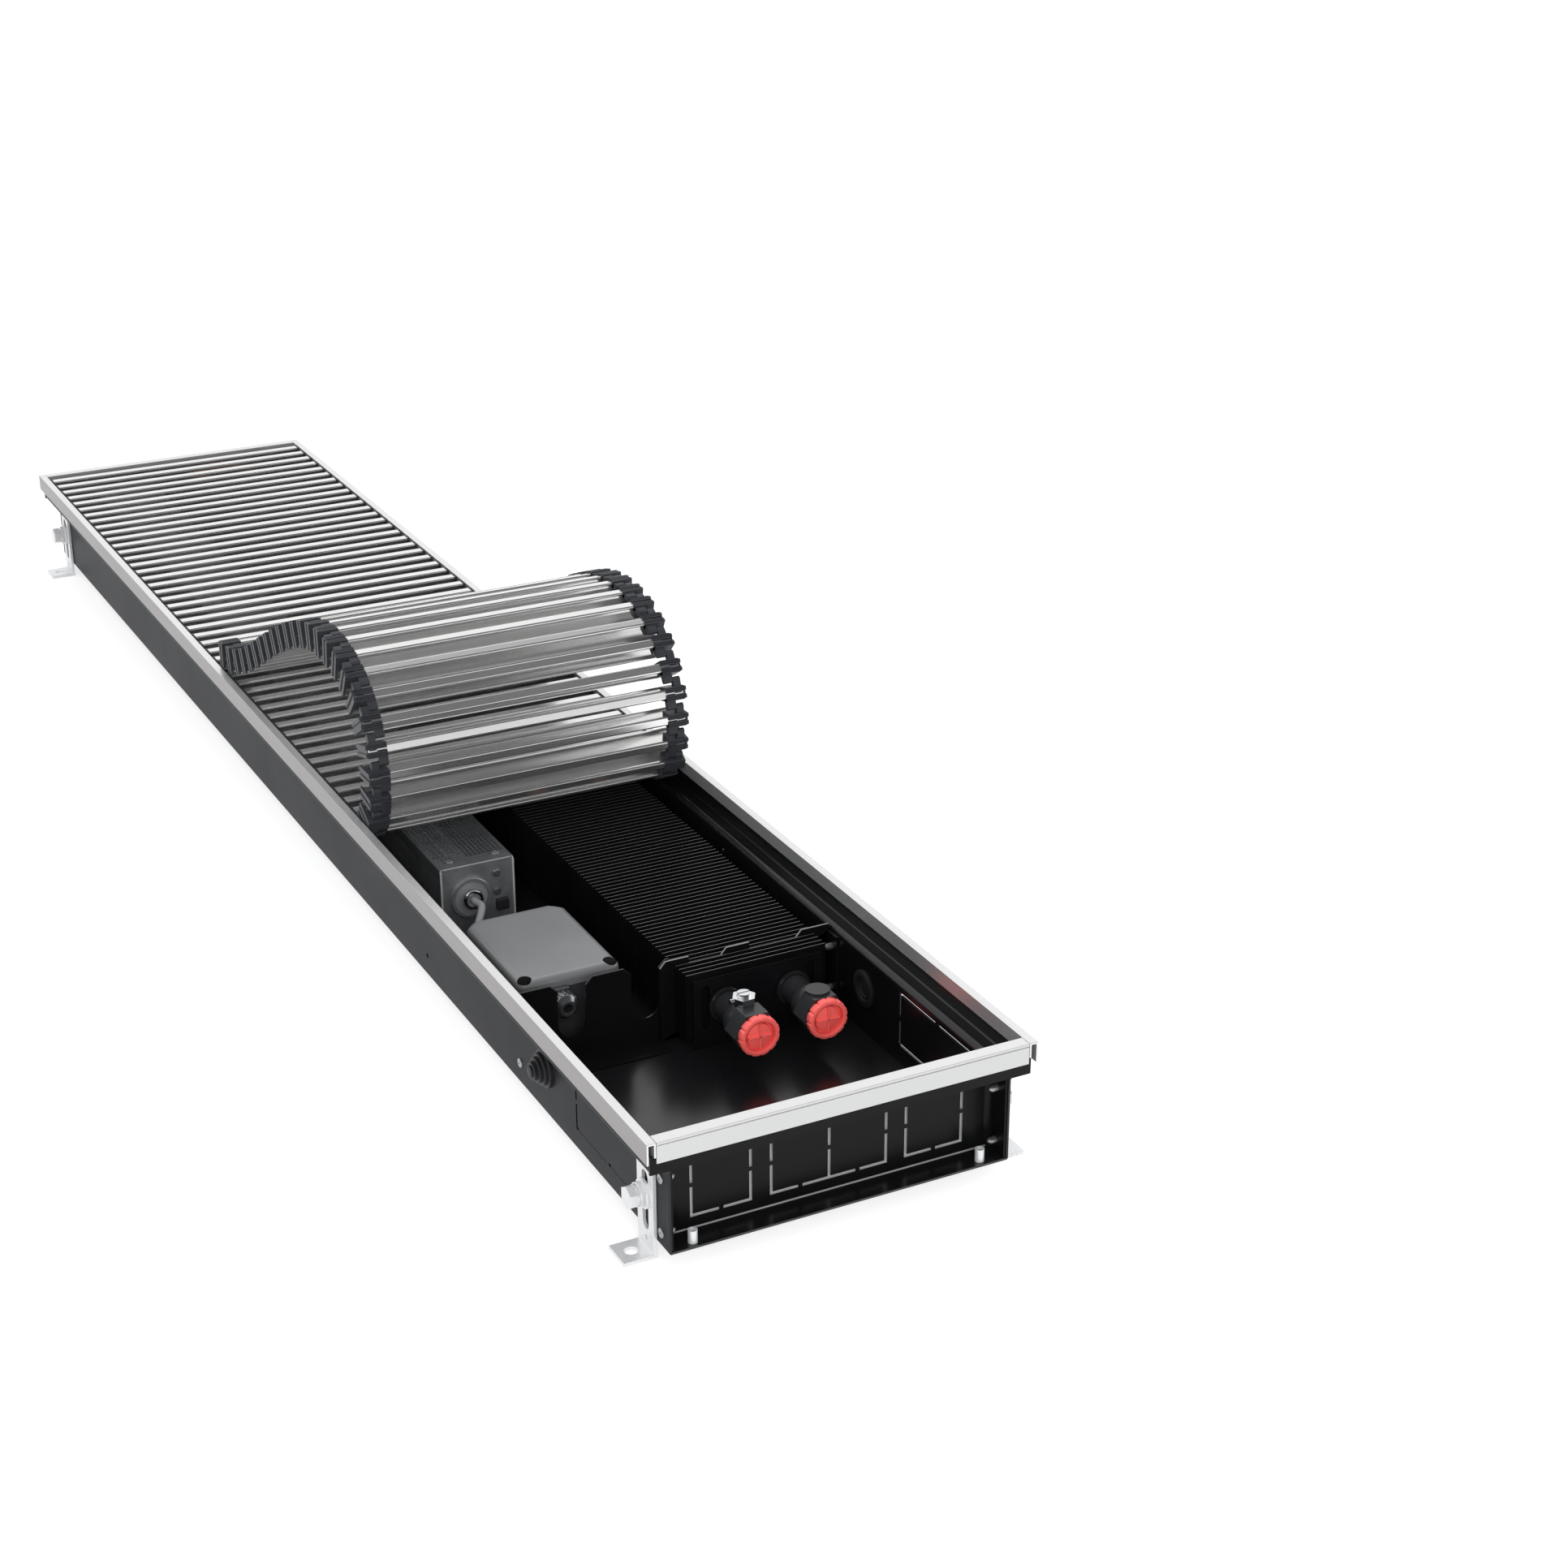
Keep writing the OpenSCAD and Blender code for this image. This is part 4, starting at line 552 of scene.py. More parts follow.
# The tree sets one part again and again along Y, a pitch apart
row_tree, row_ids, row_in, row_out = geometry_tree(
    "row_of_parts", [("Part", "Object"), ("Count", "Int"), ("Pitch", "Float"), ("First", "Float"),
                     ("Finish", "Material")])
row_line = added(row_tree, "GeometryNodeMeshLine")
row_step = added(row_tree, "ShaderNodeCombineXYZ")
row_start = added(row_tree, "ShaderNodeCombineXYZ")
row_part = added(row_tree, "GeometryNodeObjectInfo")
row_set = added(row_tree, "GeometryNodeInstanceOnPoints")
row_real = added(row_tree, "GeometryNodeRealizeInstances")
row_finish = added(row_tree, "GeometryNodeSetMaterial")
wire(row_tree,
     (row_in, "Count", row_line, "Count"),
     (row_in, "Pitch", row_step, "Y"),
     (row_in, "First", row_start, "Y"),
     (row_step, 0, row_line, "Offset"),
     (row_start, 0, row_line, "Start Location"),
     (row_in, "Part", row_part, "Object"),
     (row_line, "Mesh", row_set, "Points"),
     (row_part, "Geometry", row_set, "Instance"),
     (row_set, "Instances", row_real, "Geometry"),
     (row_real, "Geometry", row_finish, "Geometry"),
     (row_in, "Finish", row_finish, "Material"),
     (row_finish, "Geometry", row_out, "Geometry"))


def row_of(part, count, pitch, first, made):
    """One mesh with the part repeated along Y."""
    return grown(bpy.data.meshes.new("start"), row_tree, row_ids, part,
                 {"Count": count, "Pitch": pitch * mm, "First": first * mm, "Finish": made})


fin_count, fin_pitch, first_fin = 214, 5.2, -487.75
fins = faced(row_of(pressed_fin(), fin_count, fin_pitch, first_fin, fin_coating),
             lambda at, out: out.z > 0.9)
fit("fins", fins, [fin_coating, fin_edge], "duct", "fin_coating", "fin_block")

# Exchanger tube: bare copper, out and back through the fins. Only a little of it shows between the
# connectors and the first fin and at the far bend.
copper = finish("copper_tube", (0.62, 0.30, 0.20), 0.3, metal=1.0, vary=0.12, mottle=40, grain=800,
                relief=0.04)


def dress(node, made):
    """Gives a CAD node that keeps its shape a better finish."""
    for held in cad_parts[node].material_slots:
        held.material = made


dress("exchanger_tube", copper)

# Heat exchanger brackets: folded black-coated sheets that stand between the fins and are riveted to the
# right wall. They carry the grille on raised tabs, whose cut top edges are bare.
brackets = faced(copied("exchanger_brackets"), lambda at, out: at.z > 67.6 * mm and out.z > 0.3)
bracket_edge = finish("bracket_edge", (0.25, 0.25, 0.255), 0.4, metal=0.5, vary=0.05, mottle=60,
                      relief=0.03)
fit("bracket_sheets", softened(brackets, 0.3), [black_coat, bracket_edge], "duct", "black_coat",
    "exchanger_brackets")

# Pipe connectors: turned and milled from bar, dark coated, soldered on the tube's ends with a hexagon
# for the wrench. A dark glossy ring nut stands on each tube against the first fin.
connector_coat = finish("connector_coat", (0.021, 0.0215, 0.023), 0.30, vary=0.10, mottle=60,
                        grain=1800, relief=0.04)
ring_coat = finish("ring_coat", (0.03, 0.03, 0.032), 0.16, metal=0.6, vary=0.08, mottle=60, grain=1200,
                   relief=0.02)
bright_nickel = finish("bright_nickel", (0.76, 0.77, 0.78), 0.16, metal=1.0, vary=0.04, mottle=70,
                       grain=900, relief=0.02)
refit("pipe_connectors", "connector_bodies", 0.3, 2, connector_coat, "connector_metal")
tube_x, tube_z = (24.6, 74.6), 42.5
ring_nut = turned([(0, 10.05), (0, 11.9), (0.5, 12.4), (2.6, 12.4), (3.1, 11.9), (3.1, 10.05)], 40)
nut_places = [((x * mm, -494.6 * mm, tube_z * mm), (0, 0, math.pi / 2)) for x in tube_x]
fit("ring_nuts", set_at(ring_nut, nut_places, ring_coat), [ring_coat], "duct", "connector_metal")

# Air vent: a small nickel-plated valve screwed into the first connector, with a slotted screw on top and
# a spout to its side.
refit("air_vent", "air_vent_valve", 0.5, 3, bright_nickel, "nickel_plate")

# Transport caps: light red plastic plugs that close the connectors until the pipes are fitted, with a
# ribbed rim and a raised cross in the recessed face.
red_plastic = finish("red_plastic", (0.98, 0.140, 0.125), 0.36, vary=0.04, mottle=50, grain=1500,
                     relief=0.03)


def transport_cap(x):
    """One cap on the tube at x: rings of points joined into its skin, and two bars for the cross."""
    work = bmesh.new()
    ribs, per_rib = 12, 6
    steps = ribs * per_rib

    def ring(r, y, notch=0.0):
        """A ring of points round the tube at y, notched in between the ribs."""
        around = []
        for i in range(steps):
            out, turn = r - (notch if i % per_rib == 0 else 0), 2 * math.pi * i / steps
            around.append(work.verts.new(((x + out * math.cos(turn)) * mm, y * mm,
                                          (tube_z + out * math.sin(turn)) * mm)))
        return around

    rings = [ring(8.8, -526.2), ring(8.8, -538.0), ring(13.9, -538.0, 0.9), ring(14.2, -538.4, 0.9),
             ring(14.2, -542.6, 0.9), ring(13.6, -543.3, 0.8), ring(12.6, -543.5, 0.3), ring(11.2, -543.5),
             ring(10.8, -543.1), ring(10.7, -538.4), ring(8.8, -538.4), ring(8.6, -541.2),
             ring(8.2, -541.5)]
    for a, b in zip(rings, rings[1:]):
        for i in range(steps):
            j = (i + 1) % steps
            work.faces.new([a[i], b[i], b[j], a[j]])
    work.faces.new(rings[0])
    work.faces.new(rings[-1])
    cross_y, bar_long, bar_deep, bar_wide = -541.6, 17.0, 3.0, 1.5
    for turn in (0, math.pi / 2):
        bar = bmesh.ops.create_cube(work, size=1)["verts"]
        for v in bar:
            p = Vector((v.co.x * bar_long, v.co.y * bar_deep, v.co.z * bar_wide))
            p.rotate(Matrix.Rotation(turn, 3, "Y"))
            v.co = Vector((x + p.x, cross_y + p.y, tube_z + p.z)) * mm
    bmesh.ops.recalc_face_normals(work, faces=work.faces)
    return softened(settled(work, bpy.data.meshes.new("transport_cap")), 0.25, angle=40)


for side, x in zip(("left", "right"), tube_x):
    fit("plug_" + side, transport_cap(x), [red_plastic], "transport_cap_" + side, "red_plastic",
        "transport_cap_" + side)

# Fan housing: galvanised sheet round the drum, open along its side to the fins. Its front end carries the
# motor's disc, two screws and a small socket for the lead.
galvanised = finish("galvanised_sheet", (0.38, 0.39, 0.405), 0.38, metal=0.75, vary=0.14, mottle=90,
                    grain=700, relief=0.04)
refit("fan_housing", "fan_housing_sheet", 0.3, 2, galvanised, "galvanised_sheet")
fan_front = -265
flanges = set_at(drawn_out([(-0.6, -1), (0.6, -1), (0.6, 0), (-0.6, 0)], 14, 66, "z"),
                 [((x * mm, fan_front * mm, 0), (0, 0, 0)) for x in (-87.4, -32.6)], cut_edge)
fit("housing_flanges", flanges, [cut_edge], "duct", "galvanised_sheet")
socket_plastic = finish("socket_plastic", (0.02, 0.02, 0.022), 0.4, vary=0.1, mottle=60, grain=2000,
                        relief=0.08)
socket = drawn_out([(-47, 29), (-38, 29), (-38, 37), (-47, 37)], fan_front - 4.5, fan_front, "y")
fit("lead_socket", softened(socket, 0.6), [socket_plastic], "duct", "motor_metal")

# Fan guard: a perforated galvanised sheet over the drum, folded down along both sides and held by two
# screws at each end.
guard_metal = finish("guard_metal", (0.21, 0.215, 0.225), 0.34, metal=0.7, vary=0.10, mottle=60,
                     grain=900, relief=0.03)
# The tree sets a tile with one hole on a grid that spans from the first tile's middle to the last one's
hole_tree, hole_ids, hole_in, hole_out = geometry_tree(
    "perforated_field", [("Part", "Object"), ("Across", "Int"), ("Along", "Int"), ("Pitch", "Float"),
                         ("Corner", "Vector"), ("Finish", "Material")])
hole_grid = added(hole_tree, "GeometryNodeMeshGrid")
hole_tile = added(hole_tree, "GeometryNodeObjectInfo")
hole_set = added(hole_tree, "GeometryNodeInstanceOnPoints")
hole_move = added(hole_tree, "GeometryNodeTransform")
hole_real = added(hole_tree, "GeometryNodeRealizeInstances")
hole_merge = added(hole_tree, "GeometryNodeMergeByDistance", {"Distance": doubles})
hole_finish = added(hole_tree, "GeometryNodeSetMaterial")
for label, axis in (("Across", "X"), ("Along", "Y")):
    less = added(hole_tree, "ShaderNodeMath", {1: 1}, "SUBTRACT")
    times = added(hole_tree, "ShaderNodeMath", operation="MULTIPLY")
    wire(hole_tree,
         (hole_in, label, less, 0),
         (less, 0, times, 0),
         (hole_in, "Pitch", times, 1),
         (times, 0, hole_grid, "Size " + axis),
         (hole_in, label, hole_grid, "Vertices " + axis))
wire(hole_tree,
     (hole_in, "Part", hole_tile, "Object"),
     (hole_grid, "Mesh", hole_set, "Points"),
     (hole_tile, "Geometry", hole_set, "Instance"),
     (hole_set, "Instances", hole_real, "Geometry"),
     (hole_real, "Geometry", hole_merge, "Geometry"),
     (hole_merge, "Geometry", hole_move, "Geometry"),
     (hole_in, "Corner", hole_move, "Translation"),
     (hole_move, "Geometry", hole_finish, "Geometry"),
     (hole_in, "Finish", hole_finish, "Material"),
     (hole_finish, "Geometry", hole_out, "Geometry"))
hole_pitch, hole_r, guard_top, guard_t = 3.2, 1.40, 68.0, 0.6


def perforated_tile():
    """A square of the sheet with one round hole: eight points each on the square, the rim and below it."""
    points, faces = [], []
    half = hole_pitch / 2
    square = [(1, 0), (1, 1), (0, 1), (-1, 1), (-1, 0), (-1, -1), (0, -1), (1, -1)]
    for i, (sx, sy) in enumerate(square):
        a = math.pi * i / 4
        rim_x, rim_y = hole_r * math.cos(a) * mm, hole_r * math.sin(a) * mm
        points += [(sx * half * mm, sy * half * mm, 0), (rim_x, rim_y, 0), (rim_x, rim_y, -guard_t * mm)]
    for i in range(8):
        a, b = 3 * i, 3 * ((i + 1) % 8)
        faces += [(a, b, b + 1, a + 1), (a + 1, b + 1, b + 2, a + 2)]
    mesh = bpy.data.meshes.new("tile")
    mesh.from_pydata(points, [], faces)
    return mesh


def joined(meshes):
    """One mesh of several."""
    work = bmesh.new()
    for mesh in meshes:
        work.from_mesh(mesh)
    return settled(work, bpy.data.meshes.new("joined"))


fan_rear, guard_x, holes_across, holes_along = 635, -60, 16, 273
field = grown(bpy.data.meshes.new("start"), hole_tree, hole_ids, perforated_tile(),
              {"Across": holes_across, "Along": holes_along, "Pitch": hole_pitch * mm,
               "Corner": (guard_x * mm, (fan_front + fan_rear) / 2 * mm, guard_top * mm),
               "Finish": guard_metal})
fit("guard_field", field, [guard_metal], "duct", "galvanised_sheet")
fold = [(28, 60), (26.9, 60), (26.9, 67), (25.5, 67), (25.5, 68), (27.4, 68), (28, 67.4)]
folds = [[(guard_x + way * x, z) for x, z in fold] for way in (-1, 1)]
strip = [(guard_x - 25.5, 67), (guard_x + 25.5, 67), (guard_x + 25.5, 68), (guard_x - 25.5, 68)]
strip_long = 13.3
guard_parts = [softened(drawn_out(outline, fan_front, fan_rear, "y"), 0.15, 1) for outline in folds]
for start in (fan_front, fan_rear - strip_long):
    guard_parts.append(drawn_out(strip, start, start + strip_long, "y"))
guard_rim = faced(joined(guard_parts), lambda at, out: at.y < (fan_front + 0.5) * mm and out.y < -0.9)
fit("guard_rim", guard_rim, [guard_metal, cut_edge], "duct", "galvanised_sheet", "fan_guard")

# Fan drum and motor: a long drum of thin bright blades on a shaft, turned by a small motor behind the
# housing's front sheet; the motor's disc, rim and hub stand proud of that sheet.
rotor_metal = finish("rotor_metal", (0.84, 0.85, 0.86), 0.35, metal=0.2, vary=0.05, mottle=40,
                     grain=900, relief=0.02)
motor_metal = finish("motor_metal", (0.48, 0.485, 0.495), 0.30, metal=0.6, vary=0.08, mottle=60,
                     grain=900, relief=0.04)
fan_x, fan_z = -66, 43
dress("fan_rotor", rotor_metal)
refit("fan_motor", "motor_body", 0.5, 3, motor_metal, "motor_metal")
trim = turned([(0, 12.6), (0, 14.9), (0.5, 15.3), (1.4, 15.3), (1.8, 14.9), (1.8, 13.0), (1.4, 12.6)], 48)
collar = turned([(-0.6, 5.2), (-0.6, 7.6), (2.2, 7.6), (3.2, 6.9), (3.4, 5.8), (3.4, 5.2)], 40)
for name, part, y, made in (("motor_rim", trim, -267.0, galvanised),
                            ("motor_collar", collar, -269.6, bright_nickel)):
    place = ((fan_x * mm, y * mm, fan_z * mm), (0, 0, -math.pi / 2))
    fit(name, set_at(part, [place], made), [made], "duct", "motor_metal")

# Fan lead: a light grey sheathed cable, swept along a curve. It leaves the middle of the motor's hub and
# bends round to the back of the junction box.
lead_sheath = finish("lead_sheath", (0.25, 0.255, 0.265), 0.5, vary=0.08, mottle=80, grain=1500,
                     relief=0.05)
lead_start, lead_end, lead_r = (fan_x, -270.0, fan_z), (-86.0, -342.0, 28.5), 2.7
lead_shares = [(0, -0.02, 0), (0, 0.03, 0), (0, 0.09, 0), (-0.075, 0.153, -0.035), (-0.05, 0.222, 0),
               (0.15, 0.306, 0.207), (0.45, 0.417, 0.483), (0.75, 0.569, 0.759), (0.95, 0.736, 0.931),
               (1, 0.889, 1), (1, 1.0, 1)]
lead_curve = bpy.data.curves.new("lead", "CURVE")
lead_curve.dimensions = "3D"
lead_curve.bevel_depth, lead_curve.bevel_resolution, lead_curve.use_fill_caps = lead_r * mm, 4, True
lead_line = lead_curve.splines.new("NURBS")
lead_line.points.add(len(lead_shares) - 1)
for point, shares in zip(lead_line.points, lead_shares):
    place = [a + share * (b - a) for a, b, share in zip(lead_start, lead_end, shares)]
    point.co = [c * mm for c in place] + [1]
lead_line.use_endpoint_u, lead_line.order_u, lead_curve.resolution_u = True, 3, 6
lead_mesh = taken(hung("lead_holder", lead_curve))
for face in lead_mesh.polygons:
    face.use_smooth = True
fit("motor_lead", lead_mesh, [lead_sheath], "duct", "lead_sheath", "fan_lead")

# Mounting plate: a black-coated sheet across the connection bay with two notches for cable glands, its
# notch corners chamfered, riveted to the wall.
refit("box_plate", "mounting_plate", 0.3, 2, black_coat, "black_coat")

# Junction box: die-cast aluminium, base and lid, painted satin grey. The lid's edges are soft, and two
# screws stand in round recesses in its front corners.
# The base is painted far darker than the lid: painted shade, so the gland notch and the space under the lid
# read dark.
shaded_box_paint = finish("shaded_box_paint", (0.055, 0.056, 0.06), 0.42, metal=0.35, vary=0.06, mottle=30,
                   grain=1600, relief=0.12)
lid_paint = finish("lid_paint", (0.25, 0.252, 0.256), 0.33, metal=0.45, vary=0.04, mottle=24,
                   grain=1600, relief=0.06)
refit("box_base", "box_casting", 0.6, 2, shaded_box_paint, "box_metal")


def lid_outline(inset):
    """Points round the lid: two round corners at the front, two cut corners at the back."""
    half_x, half_y, r, cut = 36.5 - inset, 51.5 - inset, max(6 - inset, 1.0), 9 - 0.586 * inset
    front = [(half_x - r + r * math.cos(a), -half_y + r - r * math.sin(a))
             for a in (math.pi / 2 * i / 8 for i in range(8, -1, -1))]
    back = [(half_x - cut * (share * 0.8 + share ** 2 * 0.2),
             half_y - cut * ((1 - share) * 0.8 + (1 - share) ** 2 * 0.2))
            for share in (0, 0.25, 0.5, 0.75, 1)]
    right = front + back
    return right + [(-x, y) for x, y in reversed(right)]


lid_x, lid_y, brim, crown, edge_in = -65.0, -392.5, 59.6, 4.9, 5.6
lid_levels = [(55.5, 0.4), (55.9, 0.0), (brim, 0.0)]
lid_levels += [(brim + crown * math.sin(a), edge_in * (1 - math.cos(a)))
               for a in (math.pi / 2 * i / 7 for i in range(1, 8))]
lid_body = bmesh.new()
lid_rings = [[lid_body.verts.new(((lid_x + x) * mm, (lid_y + y) * mm, z * mm))
              for x, y in lid_outline(inset)] for z, inset in lid_levels]
for low_ring, high_ring in zip(lid_rings, lid_rings[1:]):
    for i in range(len(low_ring)):
        j = (i + 1) % len(low_ring)
        lid_body.faces.new([low_ring[i], low_ring[j], high_ring[j], high_ring[i]])
lid_body.faces.new(lid_rings[0])
lid_body.faces.new(lid_rings[-1])
bmesh.ops.recalc_face_normals(lid_body, faces=lid_body.faces)
lid_holder = hung("lid_holder", settled(lid_body, bpy.data.meshes.new("lid")))
recess_r, recess_out, recess_y, recess_floor = 4.7, 30.6, -438.2, 58.2
recess = drawn_out([(recess_r * math.cos(a), recess_r * math.sin(a))
                    for a in (math.pi * i / 14 for i in range(28))], 0, 12, "z")
recess_places = [(((lid_x + side * recess_out) * mm, recess_y * mm, recess_floor * mm), (0, 0, 0))
                 for side in (-1, 1)]
recess_tool = hung("recess_tool", set_at(recess, recess_places, lid_paint))
sink = lid_holder.modifiers.new("sink", "BOOLEAN")
sink.operation, sink.solver, sink.object = "DIFFERENCE", "EXACT", recess_tool
cover = smooth_by_angle(taken(lid_holder), 35)
bpy.data.objects.remove(recess_tool)
recess_shade = finish("recess_shade", (0.02, 0.02, 0.021), 0.5, vary=0.1, mottle=60, relief=0.05)
cover = faced(cover, lambda at, out: at.z < 64.2 * mm and math.hypot(
    abs(at.x - lid_x * mm) - recess_out * mm, at.y - recess_y * mm) < (recess_r + 0.02) * mm)
fit("box_cover", cover, [lid_paint, recess_shade], "duct", "lid_metal", "box_lid")
terminal_plastic = finish("terminal_plastic", (0.78, 0.75, 0.66), 0.5, vary=0.05, mottle=50, grain=1500,
                          relief=0.05)
dress("terminal_block", terminal_plastic)

# Cable gland: nickel-plated brass, screwed into the box's front wall, with a hexagon against the box and a
# dome nut that has eighteen small ribs round it.
gland_metal = finish("gland_metal", (0.24, 0.245, 0.255), 0.20, metal=0.9, vary=0.06, mottle=60,
                     grain=900, relief=0.03)
refit("cable_gland", "gland_body", 0.5, 3, gland_metal, "nickel_plate")
gland_rib = drawn_out([(-0.7, 8.3), (0.7, 8.3), (0.45, 9.3), (-0.45, 9.3)], -455.4, -449.4, "y")
gland_x, gland_z, rib_count = -74, 47.5, 18
rib_places = [((gland_x * mm, 0, gland_z * mm), (0, 2 * math.pi * i / rib_count, 0))
              for i in range(rib_count)]
fit("gland_ribs", set_at(gland_rib, rib_places, gland_metal), [gland_metal], "duct", "nickel_plate")

# Small screws: zinc-plated pan heads. Two stand in the lid's recesses and are painted dark for the shade
# there; the others hold the guard's corners and the housing's front sheet.
screw = turned([(-5, 0), (-5, 1.6), (0, 1.6), (0, 3.1), (0.5, 3.2), (1.2, 2.9), (1.6, 2.2), (1.65, 1.2),
                (0.9, 0.9), (0.9, 0)], 20)
up = (0, -math.pi / 2, 0)
# Painted shade: the two lid screws are coloured dark for their recesses.
recess_shaded_zinc = finish("recess_shaded_zinc", (0.05, 0.05, 0.053), 0.28, metal=0.8, vary=0.08, mottle=60, grain=900,
                   relief=0.03)
lid_screws = [((x * mm, -438 * mm, 58.8 * mm), up) for x in (-95.5, -34.5)]
fit("lid_screws", set_at(screw, lid_screws, recess_shaded_zinc), [recess_shaded_zinc], "duct", "zinc_steel")
screw_places = [((x * mm, y * mm, guard_top * mm), up) for x in (-77.5, -42.5)
                for y in (fan_front + 9, fan_rear - 9)]
screw_places += [((-45.5 * mm, fan_front * mm, z * mm), (0, 0, -math.pi / 2)) for z in (57.5, 42.8)]
fit("pan_head_screws", set_at(screw, screw_places, rivet_metal), [rivet_metal], "duct", "zinc_steel",
    "small_screws")

# Grille slats: extruded aluminium, satin anodised, with a flat top, a slim web with hollow sides and a
# foot flange. A slat and its caps are 248 mm long, and the next one stands 19.8 mm on.
slat_metal = finish("slat_aluminium", (0.86, 0.855, 0.85), 0.20, metal=0.92, vary=0.02, mottle=5,
                    grain=600, relief=0.0, brushed=(0.02, 1, 1))
slat_half, slat_pitch, cap_plate = 124.2, 19.8, 1.6


def slat_outline():
    """The slat's section, in millimetres, from the middle of its top down one side and up the other."""
    top_w, foot_w, web_w, deep, edge, foot_edge = 8.8, 7.2, 2.6, 19, 1.1, 1.4
    half = [(top_w / 2 + edge * (math.cos(a) - 1), edge * (math.sin(a) - 1))
            for a in (math.radians(90 - 18 * i) for i in range(6))]
    half.insert(0, (half[0][0] - 0.1, 0))
    half += [(top_w / 2 + (top_w - web_w) / 2 * math.cos(a), 8.0 * (math.sin(a) - 1) - 1.6)
             for a in (math.radians(90 + 15 * i) for i in range(7))]
    half += [(foot_w / 2 + (foot_w - web_w) / 2 * math.cos(a), 4.5 * (math.sin(a) + 1) + 1.6 - deep)
             for a in (math.radians(180 + 18 * i) for i in range(6))]
    half += [(foot_w / 2 + foot_edge * (math.cos(a) - 1), foot_edge * (1 - math.sin(a)) - deep)
             for a in (math.radians(18 * i) for i in range(6))]
    half += [(foot_w / 2 - foot_edge - 0.1, -deep)]
    return half + [(-y, z) for y, z in reversed(half)]


def slat_bar():
    """One slat along X, with its top at 0, up to the end plates of its caps."""
    return smooth_by_angle(drawn_out(slat_outline(), cap_plate - slat_half, slat_half - cap_plate, "x"), 35)


# End caps: dark grey rubber, pushed on each slat's ends, with an end plate, a ribbed foot below the slat
# and links that hook round the next cap's pin. They let the grille roll up.
cap_rubber = finish("cap_rubber", (0.036, 0.038, 0.043), 0.36, vary=0.12, mottle=60, grain=2600,
                    relief=0.06, ior=1.32)


def cap_foot_outline():
    """The section of a cap's foot, in millimetres, with its ribs below."""
    side = [(-5.2, -9.0), (-5.2, -20.2), (-4.9, -20.5), (-4.3, -20.5), (-4.0, -19.7), (-3.7, -19.7),
            (-3.4, -20.5), (-2.8, -20.5), (-2.5, -19.7), (-2.2, -19.7), (-1.9, -20.5), (-1.0, -20.5),
            (-0.8, -18.9)]
    return side + [(-y, z) for y, z in reversed(side)]


link_reach, link_down = 9.9, 17


def link_outline(way):
    """A link from the cap's middle out to its round end at a pin: 1 to the rear, -1 to the front."""
    r = 2.2
    arc = [(way * (link_reach + r * math.sin(a)), -link_down - r * math.cos(a)) for a in
           (math.pi * i / 8 for i in range(9))]
    return [(0, -link_down - r)] + arc + [(way * (link_reach - 1.5), -14.9), (0, -14.6)]


def end_caps(front_link=True, rear_link=True):
    """The two caps of one slat: end plate, foot, a link with a pin to the rear and one to the front."""
    plate = [(slat_half - cap_plate, -4.5), (slat_half - 0.3, -4.5), (slat_half, -4.2), (slat_half, -1.6),
             (slat_half - 0.8, -1.3), (slat_half - 0.8, 1.3), (slat_half, 1.6), (slat_half, 4.2),
             (slat_half - 0.3, 4.5), (slat_half - cap_plate, 4.5)]
    pin = [(link_reach + 1.2 * math.cos(a), -link_down + 1.2 * math.sin(a)) for a in
           (math.pi * i / 5 for i in range(10))]
    both_caps = []
    for side in (1, -1):
        parts = [drawn_out(plate, -20.5, 0, "z"),
                 drawn_out(cap_foot_outline(), slat_half - 16, slat_half - cap_plate, "x")]
        if rear_link:
            parts.append(drawn_out(link_outline(1), slat_half - 16, slat_half - 9, "x"))
            parts.append(drawn_out(pin, slat_half - 9.2, slat_half - 3.1, "x"))
        if front_link:
            parts.append(drawn_out(link_outline(-1), slat_half - 8.8, slat_half - 3.2, "x"))
        if side < 0:
            for part in parts:
                part.transform(Matrix.Scale(-1, 4, (1, 0, 0)))
                part.flip_normals()
        both_caps += parts
    return smooth_by_angle(joined(both_caps), 30)


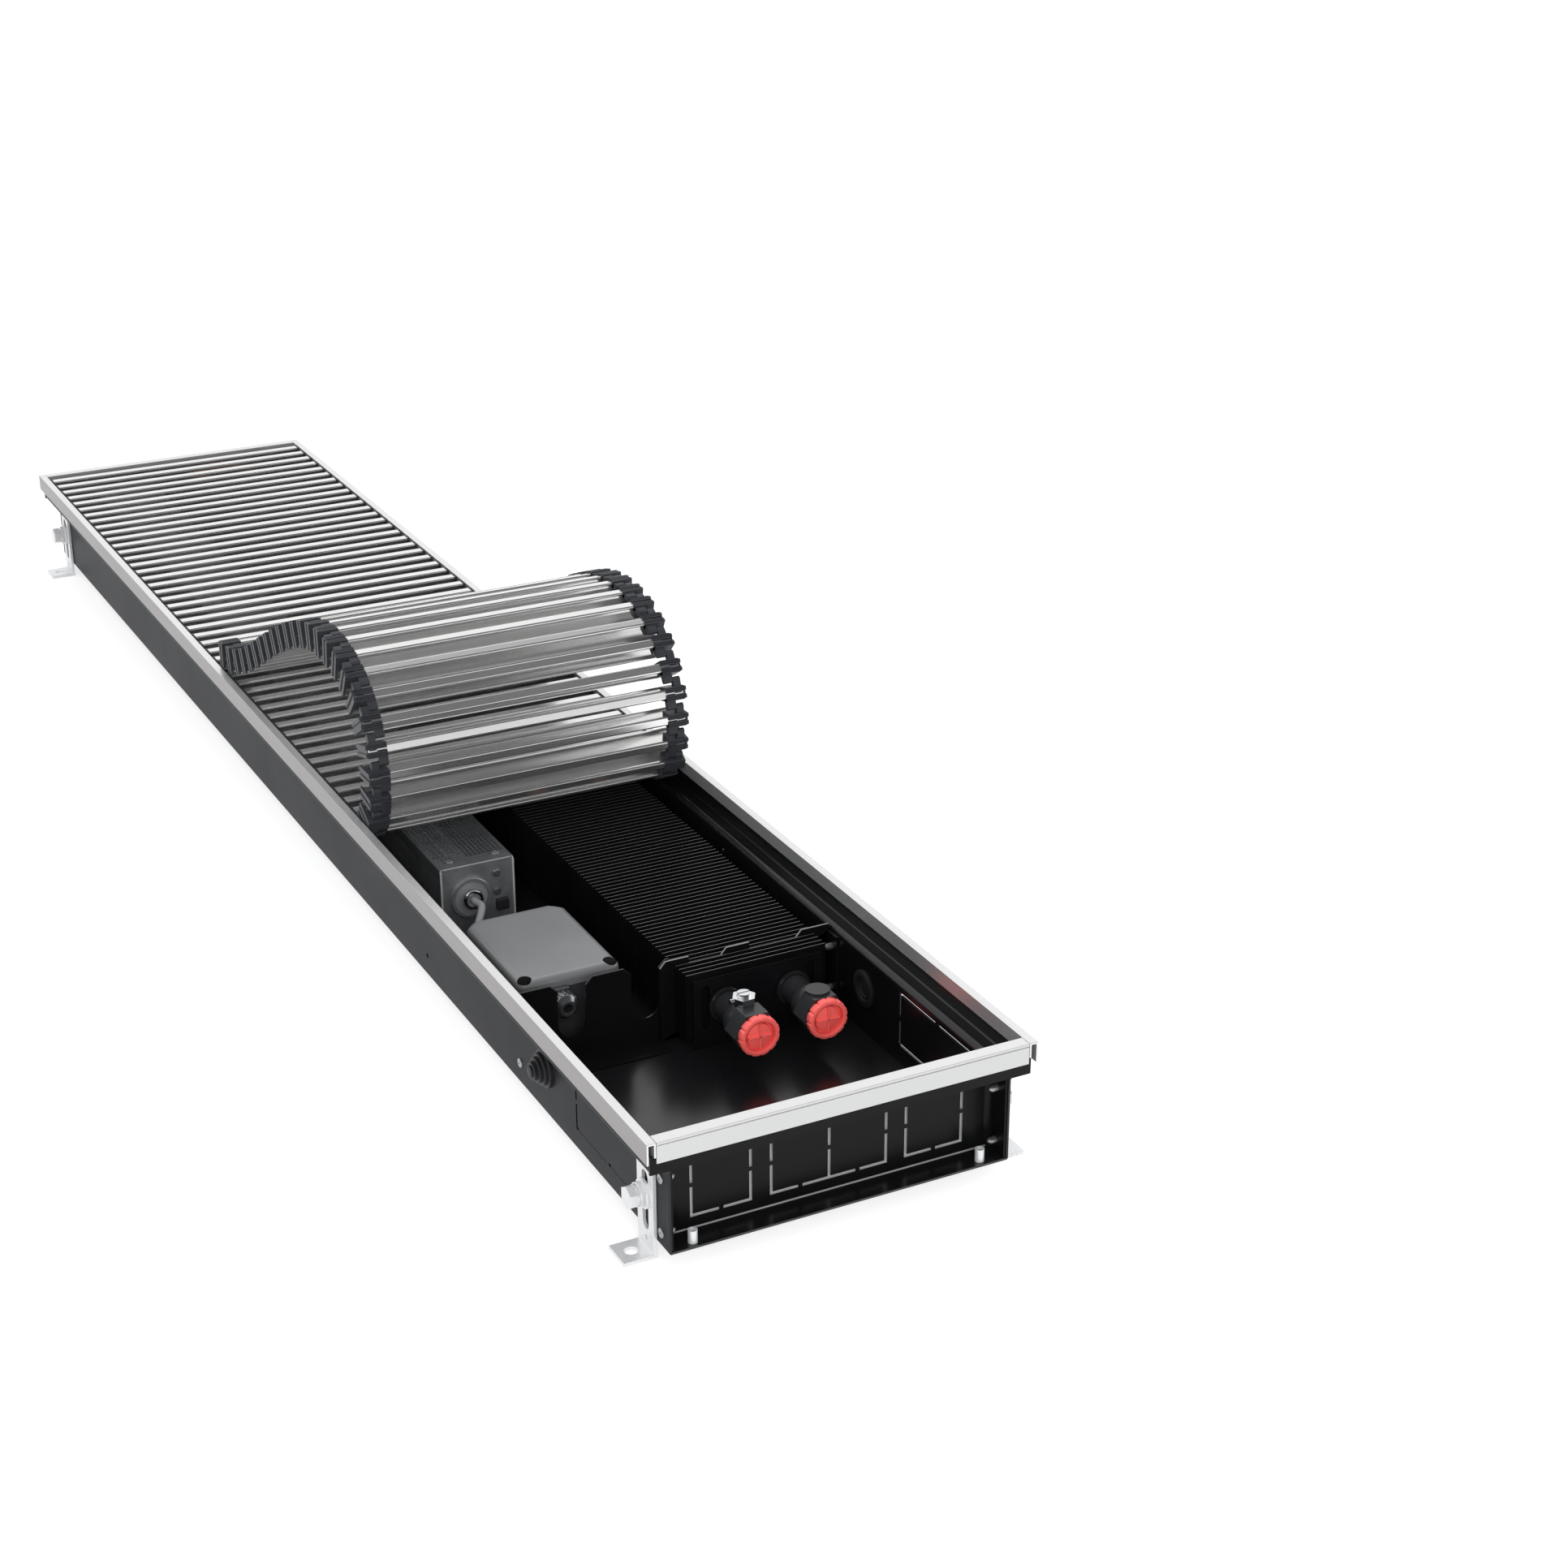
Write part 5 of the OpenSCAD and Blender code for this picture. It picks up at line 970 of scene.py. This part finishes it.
slat_top, first_slat, rolled_count, slat_count = 92, -683.1, 25, 70
flat_start, flat_count = first_slat + rolled_count * slat_pitch, slat_count - rolled_count
fixed_bars = row_of(slat_bar(), flat_count, slat_pitch, flat_start, slat_metal)
fixed_bars.transform(Matrix.Translation((0, 0, slat_top * mm)))
fit("flat_slats", fixed_bars, [slat_metal], "duct", "slat_aluminium", "fixed_slats")
last_caps = end_caps(rear_link=False)
last_caps.transform(Matrix.Translation((0, (first_slat + (slat_count - 1) * slat_pitch) * mm, 0)))
fixed_caps = joined([row_of(end_caps(), flat_count - 1, slat_pitch, flat_start, cap_rubber), last_caps])
fixed_caps.transform(Matrix.Translation((0, 0, slat_top * mm)))
fit("flat_slat_caps", fixed_caps, [cap_rubber], "duct", "cap_rubber", "fixed_slat_caps")

# Rolled part of the grille: the same slats and caps, rolled back over the flat part, each turned about
# its link by the bend that the roll has there.
bends = [30, 30, 20, 12, 14, 16, 16, 15, 11, 9, 8, 8, 7, 5, 3, 2, 1, 1, 1, -1, -1, -4, -4, -9, -7]
link_y, link_z, slope = -198.0, 75.0, 0
rolled = {}
for k, bend in zip(range(rolled_count, 0, -1), bends):
    slope += bend
    a = math.radians(slope)
    middle = Matrix.Translation((0, link_y * mm, link_z * mm)) @ Matrix.Rotation(-a, 4, "X") \
        @ Matrix.Translation((0, -slat_pitch / 2 * mm, link_down * mm))
    rolled[k] = (middle.to_translation(), (-a, 0, 0))
    link_y -= slat_pitch * math.cos(a)
    link_z += slat_pitch * math.sin(a)
free_count = 13
for k in range(rolled_count, free_count, -1):
    body = "roll_slat_%d" % k
    fit("slat_%d" % k, set_at(slat_bar(), [rolled[k]], slat_metal), [slat_metal], body,
        "slat_aluminium", body)
    fit("slat_%d_caps" % k, set_at(end_caps(), [rolled[k]], cap_rubber), [cap_rubber], body, "cap_rubber")
free_end = [rolled[k] for k in range(free_count, 0, -1)]
fit("free_end_slats", set_at(slat_bar(), free_end, slat_metal), [slat_metal], "roll_end", "slat_aluminium",
    "roll_end_slats")
free_caps = joined([set_at(end_caps(), free_end[:-1], cap_rubber),
                    set_at(end_caps(front_link=False), free_end[-1:], cap_rubber)])
fit("free_end_caps", free_caps, [cap_rubber], "roll_end", "cap_rubber", "roll_end_caps")
